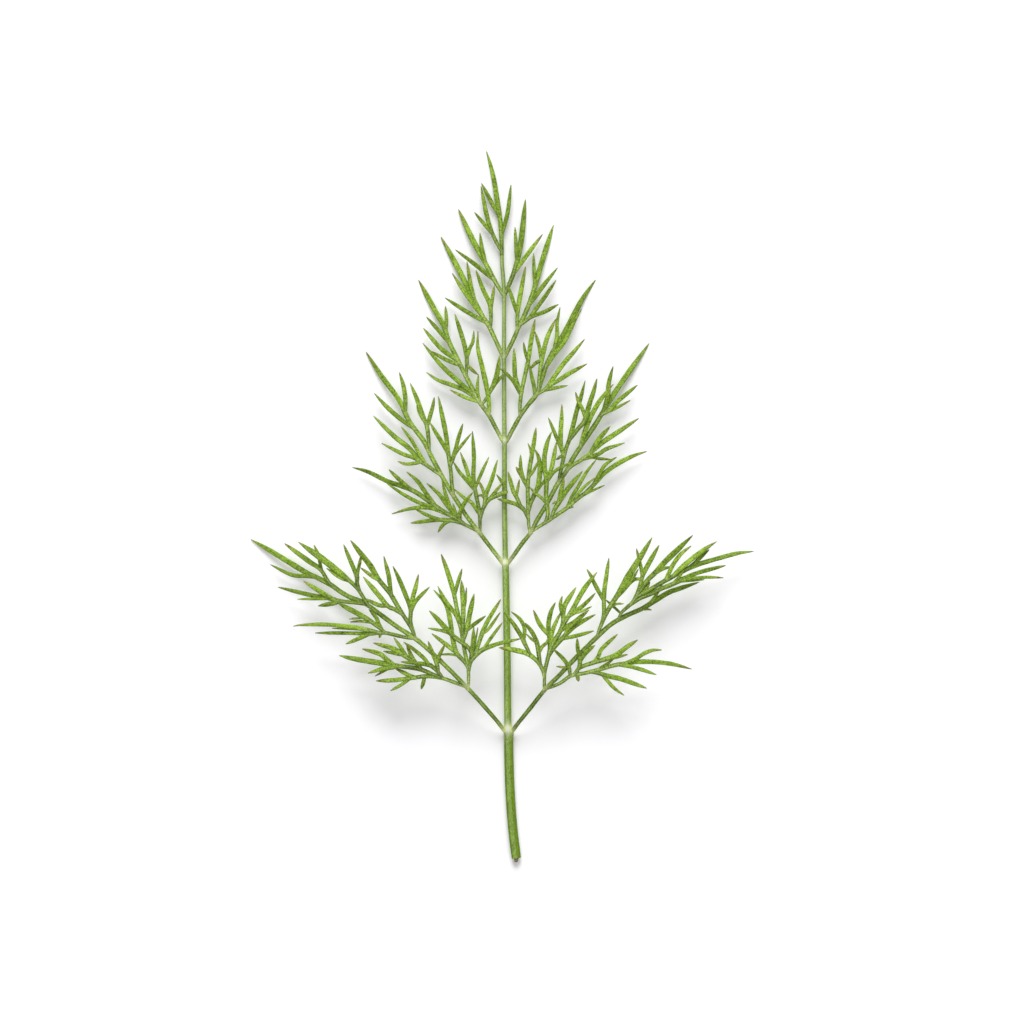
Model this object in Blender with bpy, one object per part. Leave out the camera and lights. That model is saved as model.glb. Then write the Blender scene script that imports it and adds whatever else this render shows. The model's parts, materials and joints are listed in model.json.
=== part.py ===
"""A single dill leaf, cut from its plant and lying on a flat surface.

The leaf stalk runs along +Y from its cut end to the leaf tip. It carries five opposite
pairs of feathery pinnae, and each pinna is one solid: its own stalk, its twigs and their
threadlike segments, joined as they have grown. +X is to the right, +Z is up, and z = 0
is the surface. Every limb follows the centre line given for it in the tables below, in
millimetres, and rests on the surface wherever it comes down to it.
"""

import math

import bmesh
import bpy
from mathutils import Vector
from mathutils.geometry import intersect_point_line

mm = 0.001

# The tables' own box centre, which becomes the origin.
table_centre_x = 0.1
table_centre_y = 0.0

# Diameter of the leaf stalk at a distance along it: (y, diameter).
stalk_diameters = [(-70.3, 1.86), (-45.6, 1.84), (-44.8, 1.94), (-43.6, 1.4), (-12.2, 1.34), (-11.3, 1.44),
                   (-10.5, 1.06), (12.4, 0.96), (13.4, 1.08), (14.4, 0.88), (42.0, 0.8), (53.0, 0.78),
                   (61.0, 1.0), (68.3, 0.75), (71.0, 0.16)]
pith_diameter = 0.5
pith_length = 0.7

# How high the pinnae arch over the surface: their tables' heights over their foot are multiplied by this.
arch = 1.0

# How much a side limb follows the rise that its table gives.
rise_share = 0.5

# Pinna limbs: how broad and how thick.
side_stalk_width = 0.84
twig_width = 0.76
segment_base_share = 0.78
segment_widest_at = 0.4
segment_taper_power = 3
segment_tip_width = 0.16
narrowest_segment = 0.55
broadest_segment = 1.05
threadlike_width = 0.35
segment_width_per_length = 0.07
stalk_flatness = 0.8
segment_flatness = 0.5

# Clear space between a pinna's foot and the leaf stalk.
foot_gap = 0.3

leaf_green = (0.21, 0.38, 0.045)
stem_green = (0.26, 0.42, 0.13)

# How finely the solids are drawn: a point that bends its limb by less than least_bend is left out.
least_bend = 0.2
stalk_sides = 6
segment_sides = 4
leaf_stalk_sides = 10


def limb(points, rise, *limbs, wide=None):
    """A limb from its foot to its tip, the height its tip gains, the limbs on it and its widest width."""
    return {"points": points, "rise": rise, "limbs": limbs, "wide": wide}


# A pinna's first points are (x, y, height) along its own stalk. The limbs on it start at the
# nearest point of the limb that carries them, and take their height from there.


lower_left = limb(
    [(1.3, -45.5, 1.1), (0.3, -44.4, 1.7), (-0.8, -42.95, 2.9), (-2.7, -40.7, 4.8), (-5.1, -37.95, 6.9),
     (-7.1, -35.8, 8.2), (-10.5, -32.3, 8.8), (-14.5, -28.5, 8.8), (-17.3, -26.2, 8.4),
     (-21.0, -23.8, 7.3), (-24.7, -21.1, 6.0), (-26.3, -19.9, 5.4), (-28.0, -18.9, 4.8),
     (-30.0, -18.2, 4.2), (-32.0, -17.1, 3.7), (-34.0, -15.7, 3.2), (-37.0, -14.1, 2.5),
     (-39.0, -13.2, 2.1), (-43.0, -10.8, 1.4), (-47.0, -8.4, 0.7), (-50.1, -6.6, 0.2)],
    0,
    limb([(-7.2, -35.8), (-8.9, -35.2), (-11.7, -34.2), (-14.9, -33.8), (-17.8, -34.15), (-21.5, -34.6),
          (-25.0, -34.75)], -3.0,
         limb([(-15.4, -34.0), (-15.6, -35.2), (-16.0, -36.4)], -1.0, wide=0.75),
         limb([(-18.4, -34.4), (-19.8, -35.4), (-22.1, -36.7)], -1.0, wide=0.7),
         limb([(-17.3, -34.0), (-18.6, -33.5), (-21.2, -32.2)], -0.6, wide=0.8),
         limb([(-11.9, -34.1), (-13.4, -33.5), (-16.6, -32.3), (-20.5, -31.75), (-24.5, -31.1),
               (-29.5, -30.3), (-32.3, -29.7)], -2.0,
              limb([(-21.8, -31.5), (-22.9, -30.4), (-24.3, -29.3), (-27.7, -28.35)], 0.4, wide=0.95),
              limb([(-20.6, -31.9), (-22.4, -32.1), (-24.0, -32.4), (-26.6, -33.2)], -0.8, wide=0.9),
              limb([(-21.9, -32.0), (-23.8, -33.0), (-25.2, -33.8)], -1.6, wide=0.5),
              limb([(-16.1, -32.4), (-16.9, -31.3), (-19.1, -29.8), (-21.5, -28.3),
                    (-25.5, -27.15)], 0.8,
                   limb([(-19.8, -29.6), (-21.3, -29.2), (-23.5, -28.8)], 0.6, wide=0.7),
                   limb([(-18.9, -29.8), (-19.7, -28.5), (-21.4, -26.1)], 1.0, wide=0.7),
                   limb([(-17.1, -31.1), (-17.9, -29.8), (-18.9, -27.5)], 1.0, wide=0.8),
                   wide=0.95),
              wide=1.1),
         limb([(-11.9, -34.1), (-12.4, -33.2), (-14.2, -31.6), (-17.0, -31.2),
               (-20.0, -30.9)], 2.6,
              limb([(-14.7, -31.3), (-15.6, -30.0), (-18.0, -28.0), (-19.5, -26.95)], 1.4, wide=0.8),
              limb([(-12.7, -32.6), (-12.85, -31.3), (-13.8, -28.9), (-14.55, -26.8)], 5.2,
                   limb([(-12.8, -31.2), (-12.4, -29.8), (-11.2, -27.4)], 2.4, wide=0.7),
                   wide=0.7),
              wide=0.55),
         wide=0.85),
    limb([(-6.8, -36.1), (-6.55, -34.6), (-6.65, -32.0), (-7.35, -28.6), (-7.95, -25.0), (-8.75, -21.0),
          (-9.55, -17.0), (-10.8, -12.8), (-12.0, -9.5)], -1.5,
         limb([(-6.8, -32.0), (-7.4, -30.9), (-9.0, -29.0), (-9.75, -26.0), (-10.2, -22.7),
               (-11.1, -19.4), (-13.5, -16.6)], 0.3,
              limb([(-8.8, -29.4), (-10.3, -29.4), (-12.4, -29.5)], 0.4, wide=0.5),
              limb([(-9.2, -29.0), (-11.6, -27.0), (-13.85, -25.3)], 0.4, wide=0.85),
              wide=0.9),
         limb([(-8.7, -23.4), (-9.1, -21.5), (-11.1, -18.9), (-12.65, -15.9)], 1.2, wide=0.85),
         limb([(-9.5, -17.3), (-8.9, -16.0), (-7.85, -12.4)], 0.5, wide=0.75),
         limb([(-7.9, -25.5), (-7.6, -20.0), (-7.95, -14.7)], 1.0,
              limb([(-7.6, -21.0), (-7.15, -18.8), (-6.95, -16.1)], -0.8, wide=0.5),
              wide=0.95),
         limb([(-7.6, -26.6), (-6.7, -23.5), (-6.3, -21.3), (-5.45, -17.4)], -0.6,
              limb([(-6.9, -24.5), (-5.9, -23.8), (-3.1, -21.75)], 0.8, wide=0.75),
              wide=1.0),
         limb([(-6.65, -33.0), (-6.3, -31.4), (-5.7, -30.3), (-3.9, -28.6), (-1.5, -27.6), (0.2, -27.1),
               (3.7, -26.35)], -0.7,
              limb([(-4.9, -29.3), (-4.5, -27.2), (-3.0, -23.3), (-0.15, -18.5)], 0.6,
                   limb([(-3.7, -25.2), (-2.6, -24.4), (-0.25, -21.1)], -0.4, wide=0.6),
                   wide=0.75),
              limb([(-3.4, -28.3), (-2.4, -26.6), (0.2, -23.1)], 0.5, wide=0.65),
              limb([(-5.5, -29.9), (-5.3, -27.6), (-4.7, -24.1)], -0.5, wide=0.45),
              limb([(-6.0, -30.8), (-5.75, -28.0), (-5.5, -23.9)], 1.0, wide=0.85),
              limb([(-5.7, -30.0), (-6.5, -28.2), (-8.8, -26.4), (-10.0, -25.4), (-12.9, -22.2),
                    (-14.35, -20.75)], 1.4,
                   limb([(-10.0, -25.3), (-11.3, -24.85), (-14.6, -24.2)], -0.3, wide=0.65),
                   wide=1.0),
              wide=0.75),
         wide=1.0),
    limb([(-17.3, -26.3), (-20.0, -25.85), (-23.3, -25.15), (-26.5, -25.3), (-32.0, -25.2),
          (-37.1, -25.2)], -3.6,
         limb([(-24.3, -25.15), (-26.0, -24.7), (-30.0, -23.95), (-35.0, -23.5), (-39.8, -23.6),
               (-41.45, -23.85)], -1.8,
              limb([(-27.0, -24.5), (-29.5, -24.4), (-33.7, -24.25)], -1.0, wide=0.45),
              wide=0.8),
         limb([(-23.3, -25.1), (-24.1, -24.3), (-27.0, -22.2), (-32.5, -19.25)], -1.2,
              limb([(-27.3, -22.1), (-28.7, -22.25), (-30.3, -22.4)], -0.6, wide=0.45),
              limb([(-25.8, -23.0), (-28.0, -22.85), (-30.1, -23.0)], -1.4, wide=0.55),
              wide=1.1),
         limb([(-26.2, -25.3), (-27.5, -25.9), (-31.0, -27.4)], -1.2, wide=0.8),
         limb([(-24.1, -25.2), (-24.15, -25.6), (-24.3, -26.15)], -0.2, wide=0.6),
         limb([(-23.7, -25.0), (-24.4, -23.5), (-24.9, -22.2), (-26.4, -20.5)], -2.2, wide=0.8),
         wide=0.7),
    limb([(-17.2, -26.2), (-17.5, -25.0), (-18.1, -22.8), (-18.1, -20.3), (-19.2, -17.3),
          (-20.5, -14.2), (-21.6, -11.9)], -1.6,
         limb([(-18.1, -20.5), (-17.6, -18.0), (-17.1, -16.2), (-16.5, -13.5)], -0.4, wide=0.85),
         limb([(-18.1, -20.7), (-17.0, -18.8), (-14.3, -16.0)], 0.3, wide=0.75),
         limb([(-17.5, -25.2), (-18.2, -23.7), (-20.0, -20.9), (-21.6, -18.2), (-22.3, -17.1),
               (-24.6, -14.3), (-26.1, -11.8), (-28.3, -9.0), (-30.05, -6.75)], -2.0,
              limb([(-22.0, -17.4), (-22.2, -15.5), (-22.5, -13.5), (-23.4, -9.9)], 0.4, wide=0.85),
              limb([(-24.3, -14.7), (-25.7, -13.9), (-28.0, -12.2)], 0.4, wide=0.7),
              limb([(-19.7, -21.4), (-21.2, -20.5), (-22.6, -19.8), (-24.8, -17.2),
                    (-27.5, -14.0)], -0.6,
                   limb([(-22.8, -19.6), (-24.5, -19.6), (-27.2, -18.3)], -1.0, wide=0.8),
                   wide=0.95),
              wide=1.15),
         wide=0.95),
    limb([(-26.3, -19.9), (-27.1, -18.8), (-28.6, -16.5), (-30.3, -14.8), (-33.0, -12.6),
          (-35.8, -10.4), (-40.5, -7.1)], -2.2,
         limb([(-28.4, -16.8), (-28.75, -15.3), (-28.8, -14.0), (-29.3, -12.7), (-30.2, -10.6),
               (-31.45, -7.6)], 0.6,
              limb([(-28.8, -14.0), (-28.6, -12.8), (-28.3, -11.5), (-27.9, -9.6)], 1.2, wide=0.7),
              wide=0.8),
         limb([(-30.4, -14.8), (-32.3, -14.1), (-34.9, -12.3)], -1.0, wide=0.7),
         wide=1.3),
    limb([(-26.9, -19.6), (-28.5, -19.3), (-32.0, -18.85), (-35.0, -18.2), (-39.0, -17.45),
          (-44.6, -16.1)], -3.5,
         limb([(-33.0, -18.7), (-34.6, -17.9), (-39.5, -14.9)], -0.6, wide=0.9),
         limb([(-34.3, -18.4), (-36.5, -18.4), (-40.7, -18.5)], -1.6, wide=0.6),
         limb([(-32.4, -18.8), (-33.8, -19.35), (-36.6, -19.85)], -0.8, wide=0.9),
         wide=0.85),
    limb([(-33.6, -16.0), (-34.6, -14.9), (-36.2, -12.5), (-38.5, -10.9),
          (-43.3, -7.4)], -1.2,
         limb([(-36.1, -12.6), (-36.2, -11.4), (-36.4, -10.0), (-37.4, -7.7)], 1.4, wide=0.7),
         wide=0.95),
    limb([(-37.0, -14.1), (-39.0, -13.9), (-42.0, -13.6), (-46.2, -11.6)], -1.6, wide=0.8),
)

lower_right = limb(
    [(1.42, -45.5, 1.1), (2.35, -44.6, 1.7), (3.2, -43.4, 2.8), (5.5, -40.5, 5.4), (8.7, -36.4, 8.2),
     (11.4, -33.7, 8.7), (14.9, -30.0, 8.7), (19.0, -26.0, 8.2), (21.8, -23.5, 7.2), (24.8, -21.8, 5.6),
     (28.0, -20.4, 4.3), (30.5, -18.9, 3.6), (33.3, -17.2, 3.0), (35.5, -16.4, 2.6),
     (39.5, -15.1, 2.2)],
    0,
    limb([(8.7, -36.3), (8.55, -35.0), (8.6, -33.2), (8.9, -31.6), (9.5, -29.0), (9.6, -27.4),
          (9.4, -25.0), (9.4, -23.0), (9.9, -20.8), (10.75, -19.1)], 0.8,
         limb([(8.55, -34.0), (8.2, -32.5), (7.3, -31.0), (5.4, -29.4), (2.8, -28.6),
               (-0.5, -28.1)], -0.3,
              limb([(5.5, -29.5), (4.7, -27.4), (3.9, -25.7), (2.2, -23.1),
                    (0.4, -20.9)], 0.5,
                   limb([(4.3, -26.6), (4.6, -25.2), (4.5, -23.9), (3.6, -22.3),
                         (1.9, -20.9)], 1.0, wide=0.75),
                   wide=0.85),
              limb([(7.6, -31.3), (7.5, -30.0), (7.1, -27.3), (6.2, -25.2),
                    (4.7, -23.2)], 1.0,
                   limb([(6.8, -26.9), (6.0, -26.4), (5.0, -25.4)], 0.2, wide=0.5),
                   limb([(7.4, -28.9), (8.1, -27.9), (9.0, -27.1), (9.2, -26.2)], 0.8, wide=0.7),
                   wide=0.85),
              wide=1.0),
         limb([(9.4, -25.4), (8.6, -24.7), (7.5, -23.2), (6.35, -20.6)], 0.6, wide=0.85),
         limb([(9.2, -30.2), (9.7, -28.6), (10.6, -26.6), (11.6, -25.0), (12.3, -23.0), (12.25, -21.0),
               (12.8, -19.3), (14.85, -16.1)], 1.0,
              limb([(12.2, -22.0), (11.85, -20.4), (11.75, -19.2), (12.1, -17.8)], 0.6, wide=0.75),
              limb([(9.9, -28.0), (9.95, -25.6), (10.6, -23.6), (11.9, -20.9)], -0.8, wide=0.85),
              limb([(12.1, -24.0), (13.0, -22.4), (14.2, -20.4), (15.6, -17.8), (17.0, -15.6),
                    (19.0, -13.1)], 0.4,
                   limb([(14.4, -20.8), (15.6, -20.2), (17.2, -18.8), (18.7, -17.2)], 0.8, wide=0.8),
                   limb([(13.2, -22.0), (14.6, -21.2), (16.0, -20.8), (17.95, -19.9)], 1.6, wide=0.6),
                   wide=0.95),
              limb([(12.0, -24.6), (13.2, -23.8), (14.8, -22.8), (16.2, -21.6),
                    (17.4, -20.6)], -0.4,
                   wide=0.95),
              wide=0.95),
         limb([(9.3, -29.8), (10.4, -28.2), (12.3, -26.0), (14.4, -24.0), (16.2, -22.8),
               (18.7, -21.5)], 0.4,
              limb([(12.0, -26.3), (13.2, -26.1), (15.0, -25.7), (18.4, -24.75)], -0.4, wide=0.75),
              limb([(12.6, -25.6), (13.2, -24.4), (14.4, -23.4), (15.4, -22.9)], 1.0, wide=0.6),
              wide=0.85),
         wide=0.9),
    limb([(9.0, -36.3), (11.6, -35.2), (13.8, -33.7), (16.4, -33.2), (19.6, -32.4), (23.5, -31.4),
          (28.5, -30.9), (33.5, -31.3), (37.9, -32.4)], -3.4,
         limb([(15.15, -33.5), (15.2, -34.1), (15.35, -34.85)], -0.3, wide=0.75),
         limb([(13.8, -33.6), (13.4, -32.0), (12.3, -30.3), (10.3, -28.3)], 6.0,
              limb([(13.3, -31.9), (12.4, -32.0), (10.9, -31.8)], -0.8, wide=0.5),
              wide=0.8),
         limb([(15.2, -33.3), (15.5, -31.8), (15.6, -30.3), (15.2, -28.5),
               (15.05, -26.2)], 4.4,
              limb([(15.6, -30.6), (16.4, -29.5), (17.3, -28.6), (18.6, -27.6)], 1.0, wide=0.9),
              wide=0.75),
         limb([(14.6, -33.4), (15.6, -32.1), (18.2, -31.1), (21.5, -30.1), (23.3, -29.2), (24.9, -28.0),
               (27.1, -26.55)], 0.6,
              limb([(20.9, -30.3), (23.0, -29.95), (25.15, -29.45)], -0.5, wide=0.7),
              limb([(18.6, -31.0), (19.3, -29.8), (20.0, -28.3), (23.1, -25.4)], 0.8, wide=0.8),
              wide=0.95),
         limb([(19.4, -32.5), (20.6, -31.6), (22.3, -30.4)], 0.4, wide=0.6),
         limb([(25.0, -31.2), (26.6, -30.4), (28.5, -29.2), (30.2, -28.6),
               (31.9, -28.55)], 0.5, wide=0.8),
         limb([(23.4, -31.5), (25.4, -31.8), (28.0, -32.5), (30.85, -33.5)], -0.5, wide=0.8),
         limb([(18.0, -32.9), (19.4, -33.2), (21.0, -33.7), (24.0, -34.4),
               (28.9, -36.2)], -1.6,
              limb([(20.2, -33.5), (21.0, -34.6), (22.5, -36.2), (24.4, -37.6)], -0.6, wide=0.7),
              wide=0.95),
         wide=0.95),
    limb([(19.1, -25.9), (19.5, -24.4), (20.1, -22.8), (20.4, -21.0), (20.4, -19.0), (20.5, -16.6),
          (20.9, -13.8), (21.4, -10.3)], -1.4,
         limb([(20.3, -18.6), (19.4, -17.0), (18.5, -15.3), (17.8, -13.8),
               (17.0, -12.5)], 0.6, wide=0.8),
         limb([(19.7, -23.9), (20.8, -21.4), (21.9, -19.5), (23.3, -17.3), (25.0, -14.3), (26.6, -11.8),
               (28.2, -9.2), (30.0, -6.2)], -1.6,
              limb([(21.9, -19.4), (23.0, -19.4), (24.35, -19.35)], -1.0, wide=0.5),
              limb([(22.6, -18.4), (24.4, -16.5), (26.0, -14.5), (27.3, -12.4)], -1.0, wide=0.8),
              wide=1.2),
         wide=0.9),
    limb([(23.4, -22.5), (23.9, -21.2), (24.9, -20.2), (26.2, -19.0), (27.1, -17.2), (27.7, -15.4),
          (28.2, -13.6), (29.2, -11.6), (31.4, -7.7)], 1.2,
         limb([(23.8, -21.4), (22.6, -20.2), (20.8, -18.6)], 1.2, wide=0.55),
         limb([(28.1, -13.8), (27.8, -12.2), (27.4, -10.6), (26.9, -8.4)], 0.8, wide=0.7),
         limb([(27.9, -14.4), (26.4, -14.6), (24.8, -16.1), (23.3, -18.0)], 0.8, wide=0.7),
         limb([(26.6, -18.4), (27.6, -16.8), (29.0, -14.8), (30.6, -13.2), (32.6, -11.0), (35.0, -8.7),
               (38.1, -5.75)], -1.2,
              limb([(27.3, -17.4), (28.5, -16.6), (29.6, -15.0)], -0.8, wide=0.8),
              limb([(30.2, -13.5), (32.0, -12.5), (33.9, -12.0)], -0.4, wide=0.7),
              wide=1.15),
         limb([(25.6, -19.6), (27.6, -18.3), (29.5, -17.5), (32.0, -16.3), (33.8, -15.6), (36.5, -14.3),
               (39.5, -13.1), (44.7, -11.75)], -2.6,
              limb([(36.0, -14.5), (38.3, -14.3), (41.0, -14.1), (44.2, -14.2)], -0.6, wide=0.65),
              limb([(34.2, -15.4), (35.3, -14.2), (36.3, -12.7)], 0.6, wide=0.6),
              limb([(35.2, -15.0), (37.4, -14.8), (40.4, -14.6)], -1.4, wide=0.5),
              wide=0.85),
         limb([(26.9, -18.0), (28.6, -17.1), (31.0, -15.7), (34.0, -14.0), (36.5, -12.7), (39.0, -11.6),
               (43.0, -10.4), (47.0, -9.35), (50.3, -8.95)], -5.2,
              limb([(34.6, -13.7), (36.0, -12.1), (38.5, -10.0), (40.5, -8.5),
                    (42.85, -7.0)], 0.4, wide=1.0),
              limb([(37.4, -12.3), (38.6, -11.2), (40.0, -9.8), (41.4, -8.6)], -0.6, wide=0.8),
              limb([(32.9, -14.6), (33.4, -13.2), (34.3, -11.4), (35.8, -9.4),
                    (37.8, -7.85)], 0.2, wide=0.85),
              wide=0.9),
         wide=0.95),
    limb([(28.6, -20.2), (29.9, -19.0), (31.0, -17.4), (32.2, -15.3)], -0.8, wide=0.7),
    limb([(28.2, -20.4), (29.0, -20.5), (29.95, -20.65)], -0.3, wide=0.45),
)

middle_left = limb(
    [(0.77, -11.9, 2.1), (0.1, -11.1, 2.25), (-1.2, -9.4, 2.7), (-4.5, -5.1, 3.6), (-6.6, -2.4, 4.0),
     (-8.2, 0.0, 4.2), (-10.7, 4.0, 4.2), (-13.5, 9.0, 3.8), (-15.5, 13.0, 3.2), (-18.4, 17.0, 2.5),
     (-20.5, 21.3, 1.7), (-24.0, 26.1, 0.9), (-27.1, 30.9, 0.2)],
    0,
    limb([(-19.2, 19.0), (-19.2, 21.6), (-19.6, 24.2), (-20.4, 26.8)], 0.6, wide=0.85),
    limb([(-17.7, 15.6), (-20.3, 17.6), (-23.0, 20.0), (-25.4, 22.6)], -1.2, wide=0.9),
    limb([(-12.1, 6.4), (-13.6, 7.3), (-15.0, 8.3), (-16.3, 9.2), (-18.5, 11.7), (-21.5, 14.1),
          (-25.6, 18.1)], -2.4,
         limb([(-15.2, 8.4), (-16.6, 10.9), (-18.0, 13.3), (-20.0, 15.9)], 0.6, wide=0.75),
         limb([(-16.3, 9.1), (-18.0, 9.9), (-19.5, 10.4), (-23.9, 12.6)], -0.6, wide=0.75),
         limb([(-16.2, 8.9), (-17.4, 8.6), (-19.2, 8.5), (-20.7, 9.0)], -0.8, wide=0.7),
         wide=0.95),
    limb([(-14.4, 11.0), (-14.6, 14.0), (-14.9, 16.0), (-15.8, 18.5), (-16.9, 21.5),
          (-18.2, 24.6)], -0.6,
         limb([(-14.8, 16.0), (-14.2, 18.2), (-13.7, 20.0), (-13.4, 21.8)], 0.6, wide=0.8),
         limb([(-15.2, 16.8), (-16.3, 18.6), (-16.9, 20.3)], -0.4, wide=0.7),
         wide=0.85),
    limb([(-9.5, 2.2), (-9.9, 4.5), (-10.1, 7.0), (-10.6, 10.5), (-11.1, 14.5), (-11.9, 18.5),
          (-12.6, 22.0)], 0.2,
         limb([(-10.6, 10.6), (-12.0, 13.0), (-13.2, 14.9), (-14.2, 16.7)], 1.0, wide=0.8),
         limb([(-10.2, 8.4), (-9.2, 11.2), (-8.6, 13.6), (-7.7, 16.5)], 0.4,
              limb([(-9.5, 10.2), (-8.2, 11.9), (-6.0, 14.6)], 0.5, wide=0.6),
              wide=0.8),
         wide=0.95),
    limb([(-4.4, -5.0), (-4.3, -3.0), (-4.4, -1.0), (-5.1, 2.5), (-5.6, 5.5), (-5.5, 10.0),
          (-5.8, 15.0)], 0.8,
         limb([(-5.5, 4.6), (-6.4, 5.7), (-7.0, 7.6), (-8.2, 10.8)], 0.7, wide=0.75),
         limb([(-5.3, 3.6), (-7.0, 5.3), (-8.4, 6.9), (-9.6, 8.9)], 1.2, wide=0.75),
         limb([(-5.2, 4.0), (-4.2, 6.2), (-2.5, 9.9)], 0.6, wide=0.65),
         limb([(-4.5, -1.4), (-5.9, 0.7), (-7.3, 1.6), (-9.6, 3.6)], 1.8, wide=0.7),
         limb([(-4.3, -2.6), (-3.7, -0.5), (-2.5, 1.4), (-0.4, 2.4), (1.3, 3.0)], -0.2,
              limb([(-3.4, 0.3), (-3.0, 2.6), (-1.9, 5.5), (-0.8, 9.3)], 0.6,
                   limb([(-3.2, 2.0), (-3.8, 3.6), (-4.7, 5.3)], 0.8, wide=0.6),
                   limb([(-3.3, 1.6), (-3.9, 2.2), (-4.9, 2.1)], 0.6, wide=0.5),
                   wide=0.75),
              limb([(-2.3, 1.6), (-1.2, 3.0), (0.3, 4.8)], 0.6, wide=0.65),
              limb([(0.8, 2.9), (0.6, 4.0), (-0.2, 5.3), (-1.0, 6.4)], 0.3, wide=0.65),
              wide=0.65),
         wide=0.85),
    limb([(-4.6, -4.8), (-6.5, -4.0), (-8.3, -3.2), (-10.0, -2.8), (-13.0, -2.7),
          (-18.1, -3.3)], -2.6,
         limb([(-10.6, -2.8), (-11.6, -3.6), (-12.7, -5.2)], -0.8, wide=0.7),
         limb([(-12.2, -2.7), (-14.4, -1.9), (-17.1, -0.6)], -0.4, wide=0.7),
         limb([(-7.2, -3.7), (-8.5, -2.7), (-12.0, -0.7), (-17.0, 2.8), (-20.0, 4.1), (-22.7, 5.0),
               (-26.6, 6.9), (-29.8, 7.8)], -3.6,
              limb([(-18.0, 3.3), (-20.0, 5.0), (-22.5, 7.4)], 0.2, wide=0.8),
              limb([(-13.4, 0.4), (-15.3, 3.0), (-16.7, 5.0), (-18.9, 6.9)], 0.8, wide=0.85),
              limb([(-12.6, -0.2), (-16.0, 0.6), (-19.2, 2.2), (-23.0, 4.7)], -1.0, wide=0.75),
              limb([(-10.2, -1.8), (-12.3, -0.9), (-15.0, -0.2), (-18.5, -0.5),
                    (-21.9, -1.5)], -1.8, wide=0.8),
              limb([(-9.2, -2.3), (-10.8, 0.2), (-12.5, 2.5), (-14.9, 4.6)], 0.8, wide=0.85),
              limb([(-9.2, -2.2), (-10.2, -0.2), (-11.0, 2.0), (-11.9, 5.3)], 1.6, wide=0.75),
              limb([(-8.9, -2.5), (-9.2, -1.0), (-9.7, 0.6)], 0.8, wide=0.6),
              limb([(-8.5, -2.7), (-8.3, -1.4), (-7.3, 0.8), (-5.7, 2.8)], 6.4, wide=0.8),
              wide=0.95),
         wide=0.8),
)

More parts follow.
